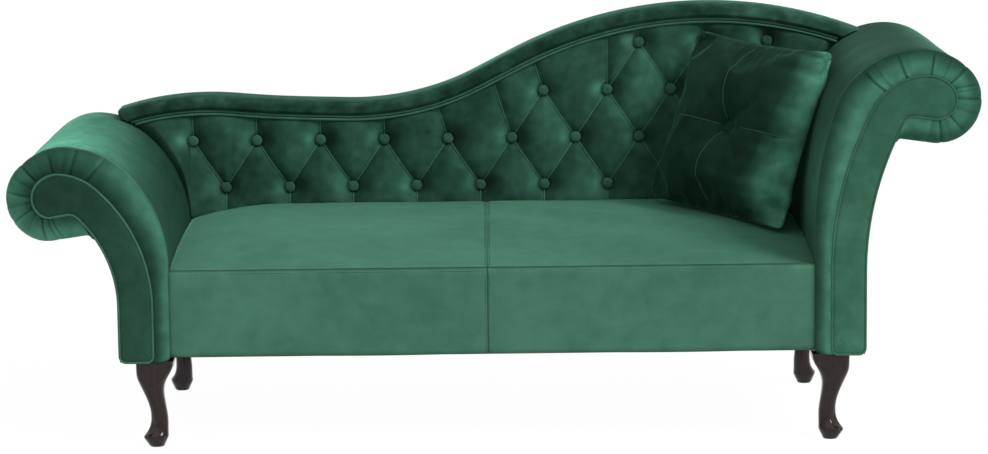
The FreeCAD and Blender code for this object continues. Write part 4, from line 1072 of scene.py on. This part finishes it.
def stuffed(points, faces):
    """Blows the sewn squares up as cloth, with the seam and the button's middle held."""
    mesh = bpy.data.meshes.new("cushion_cloth")
    mesh.from_pydata([tuple(float(value) * 0.001 for value in point) for point in points], [], faces)
    cloth = bpy.data.objects.new("cushion_cloth", mesh)
    scene = bpy.context.scene
    scene.collection.objects.link(cloth)
    held = cloth.vertex_groups.new(name="held")
    held.add([number for number, (x, y, z) in enumerate(points)
              if math.hypot(x, y) < 9.0 or max(abs(x), abs(y)) > CUSHION_HALF - 0.1], 1.0, "REPLACE")
    settings = cloth.modifiers.new("stuffing", "CLOTH").settings
    settings.quality = 7
    settings.mass = 0.25
    settings.tension_stiffness = 18.0
    settings.compression_stiffness = 18.0
    settings.shear_stiffness = 8.0
    settings.bending_stiffness = 0.15
    settings.shrink_min = -0.035
    settings.use_pressure = True
    settings.uniform_pressure_force = 1.6
    settings.vertex_group_mass = "held"
    settings.effector_weights.gravity = 0.0
    for step in range(STUFFING_FRAMES):
        scene.frame_set(step + 1)
    result = cloth.evaluated_get(bpy.context.evaluated_depsgraph_get()).to_mesh()
    settled = np.array([tuple(vertex.co) for vertex in result.vertices]) * 1000.0
    bpy.data.objects.remove(cloth)
    bpy.data.meshes.remove(mesh)
    scene.frame_set(1)
    return settled


points, faces = flat_cushion(42.0)
sides_of = np.sign(points[:, 2])
u, v = points[:, 0] / CUSHION_HALF, points[:, 1] / CUSHION_HALF
points = stuffed(points, faces)
points *= np.array([CUSHION_HALF, CUSHION_HALF, CUSHION_THICKNESS / 2]) / np.abs(points).max(axis=0)
# The seams draw in a little between the corners, and each corner sits its own way
points[:, 0] *= 1 - 0.035 * (1 - v ** 2)
points[:, 1] *= 1 - 0.035 * (1 - u ** 2)
corner_shifts = ((-1, 1, 8.0, 3.0), (1, 1, 7.0, 12.0), (-1, -1, -3.0, 8.0), (1, -1, 4.0, 6.0))
for side_u, side_v, shift_x, shift_y in corner_shifts:
    near = ((1 + side_u * u) / 2) ** 2 * ((1 + side_v * v) / 2) ** 2
    points[:, 0] += shift_x * near
    points[:, 1] += shift_y * near
blunt = dying(2 - np.abs(u) - np.abs(v), 0.05)
points[:, :2] -= 7.0 * np.sign(points[:, :2]) * blunt[:, None]


def drawn_line(v):
    """How far, in half widths, the upright drawn line bows from the middle."""
    return -np.where(v > 0, 0.14, 0.2) * np.abs(np.sin(np.pi * v))


aside = u - drawn_line(v)
from_middle = np.hypot(u, v) * CUSHION_HALF
fade = np.clip(1.0 - from_middle / 178.0, 0.0, 1.0) ** 0.5
upright = dying(np.abs(aside), 0.02) * 2.2 + bell(aside, 0.1) * 3.0
level = (dying(np.abs(v), 0.02) * 2.0 + bell(v, 0.1) * 2.6) * np.clip(1.2 - from_middle / 130, 0, 1)
hollow = 9.0 * bell(from_middle, 20.0) + 8.0 * dying(from_middle, 34.0)
points[:, 2] -= sides_of * np.minimum(upright * fade + level + hollow, np.abs(points[:, 2]) * 0.9)


def set_down(local):
    """From the cushion's own directions to where it leans in the corner."""
    local = np.asarray(local, float).reshape(-1, 3)
    stand = strung(local[:, 0], -local[:, 2], local[:, 1])
    for (first, second), turn in (((2, 0), CUSHION_TILT), ((1, 2), -CUSHION_LEAN), ((0, 1), -CUSHION_TURN)):
        a, b = stand[:, first].copy(), stand[:, second].copy()
        stand[:, first] = math.cos(turn) * a - math.sin(turn) * b
        stand[:, second] = math.sin(turn) * a + math.cos(turn) * b
    return stand + np.array(CUSHION_CENTRE)


cushion = new_piece("scatter_cushion_cover", set_down(points), faces, cushion_velvet, "cushion")
# Painted light on the cushion's right side and painted shade over the rest, with painted wrinkle shading on the
# lit side and random mottling
lit = u + 0.16 * bell(v + 0.6, 0.22) - 0.05 * np.sin(v * 3.0)
wrinkled = strung(u * 30.0, v * 150.0, 0.0)
paint_light_and_tone(cushion, np.interp(lit, (-1.0, -0.3, 0.3, 0.6, 0.76, 0.9, 1.0), (0.85, 0.66, 0.62, 0.8, 2.6, 6.0, 5.0))
         * np.exp(0.5 * sag(wrinkled, 18.0) * np.clip(lit * 2, 0.2, 1) + 0.3 * sag(points, 40.0)))
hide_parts("scatter_cushion")

# The drawn lines show their folded edge as thin cords of the lighter cord cloth, a painted highlight
front_side = points[:(CUSHION_CELLS + 1) ** 2].reshape(CUSHION_CELLS + 1, CUSHION_CELLS + 1, 3)


def on_cushion(u, v):
    """A place on the cushion's front side, in its own directions."""
    column, row = (np.clip((share + 1) / 2 * CUSHION_CELLS, 0, CUSHION_CELLS - 1e-6) for share in (u, v))
    i, j = row.astype(int), column.astype(int)
    a, b = (row - i)[:, None], (column - j)[:, None]
    return (front_side[i, j] * (1 - a) * (1 - b) + front_side[i, j + 1] * (1 - a) * b
            + front_side[i + 1, j] * a * (1 - b) + front_side[i + 1, j + 1] * a * b)


drawn = []
for low, high, upright in ((-0.9, -0.08, True), (0.08, 0.93, True), (-0.75, -0.1, False), (0.26, 0.82, False)):
    run = np.linspace(low, high, 60)
    line = on_cushion(drawn_line(run), run) if upright else on_cushion(run, np.zeros(60))
    drawn.append(cord_along(set_down(line + np.array([0.0, 0.0, 0.9])), THREAD_RADIUS, sides=6))
drawn_folds = new_tubes("cushion_folds", drawn, piping_velvet, "cushion")

button_depth = float(front_side[CUSHION_CELLS // 2, CUSHION_CELLS // 2 + 2, 2]) - 1.0
knob = button_rings(CUSHION_BUTTON_RADIUS) + np.array([0.0, 0.0, button_depth])
knob = set_down(knob).reshape(knob.shape)
cushion_knob = new_tubes("scatter_cushion_button", [knob], cushion_velvet, "cushion")
paint_light_and_tone(cushion_knob, 0.9)
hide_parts("cushion_button")


# The room.  A pale floor that runs out of sight, plain soft light from above and from the
# right, and a camera with a long lens, a little above the back.
def seen_by_camera(surface):
    """Above nought for rays from the camera, also where they come by a mirror or glass."""
    rays = surface.add("LightPath", {}).outputs
    direct = surface.add("Math", {0: rays["Is Camera Ray"], 1: rays["Is Glossy Ray"]}, operation="MAXIMUM")
    through = surface.add("Math", {0: direct.outputs[0], 1: rays["Is Transmission Ray"]}, operation="MAXIMUM")
    return through.outputs[0]


# Nearly white, lifted for the camera's sake, and still keeping the shadow
paint = Finish("pale_floor")
plain = paint.nodes["Principled BSDF"]
paint.fill(plain, {"Base Color": (0.93, 0.93, 0.93, 1.0), "Roughness": 0.9, "Specular IOR Level": 0.1})
glow = paint.add("Emission", {"Strength": 1.02})
lifted = paint.add("Math", {0: seen_by_camera(paint), 1: 0.96}, operation="MULTIPLY")
mix = paint.add("MixShader", {"Fac": lifted.outputs[0], 1: plain.outputs["BSDF"], 2: glow.outputs["Emission"]})
paint.fill(paint.nodes["Material Output"], {"Surface": mix.outputs["Shader"]})
floor_mesh = bpy.data.meshes.new("floor")
floor_mesh.from_pydata([(-40, -20, 0), (40, -20, 0), (40, 60, 0), (-40, 60, 0)], [], [(0, 1, 2, 3)])
floor_mesh.materials.append(paint.block)
floor = bpy.data.objects.new("floor", floor_mesh)
bpy.context.scene.collection.objects.link(floor)

air = Surface(bpy.data.worlds.new("soft_room"))
bpy.context.scene.world = air.block
ambient = air.nodes["Background"]
air.fill(ambient, {"Color": (1.0, 1.0, 1.0, 1.0), "Strength": 0.32})
backdrop = air.add("Background", {"Strength": 1.03})
choose = air.add("MixShader", {"Fac": seen_by_camera(air), 1: ambient.outputs["Background"],
                               2: backdrop.outputs["Background"]})
air.fill(air.nodes["World Output"], {"Surface": choose.outputs["Shader"]})


def soft_sun(name, strength, spread, from_right, from_front, from_above):
    """A broad, even light; the last three say where it stands from the chaise."""
    lamp = bpy.data.lights.new(name, "SUN")
    lamp.energy = strength
    lamp.angle = math.radians(spread)
    sun = bpy.data.objects.new(name, lamp)
    bpy.context.scene.collection.objects.link(sun)
    sun.rotation_euler = Vector((from_right, -from_front, from_above)).to_track_quat("Z", "Y").to_euler()


soft_sun("window", 1.95, 22.0, 1.15, 0.9, 1.25)
soft_sun("ceiling", 0.5, 60.0, -0.4, 0.9, 1.5)

camera_data = bpy.data.cameras.new("camera")
camera_data.lens = 123.58
camera_data.sensor_width = 36.0
camera = bpy.data.objects.new("camera", camera_data)
bpy.context.scene.collection.objects.link(camera)
camera.location = (0.0053, -6.4664, 1.3636)
looking_down = Matrix.Rotation(math.radians(90.0 - 8.778), 4, "X")
camera.rotation_euler = (looking_down @ Matrix.Rotation(math.radians(-0.68), 4, "Z")).to_euler()
bpy.context.scene.camera = camera
bpy.context.scene.view_settings.view_transform = "Standard"
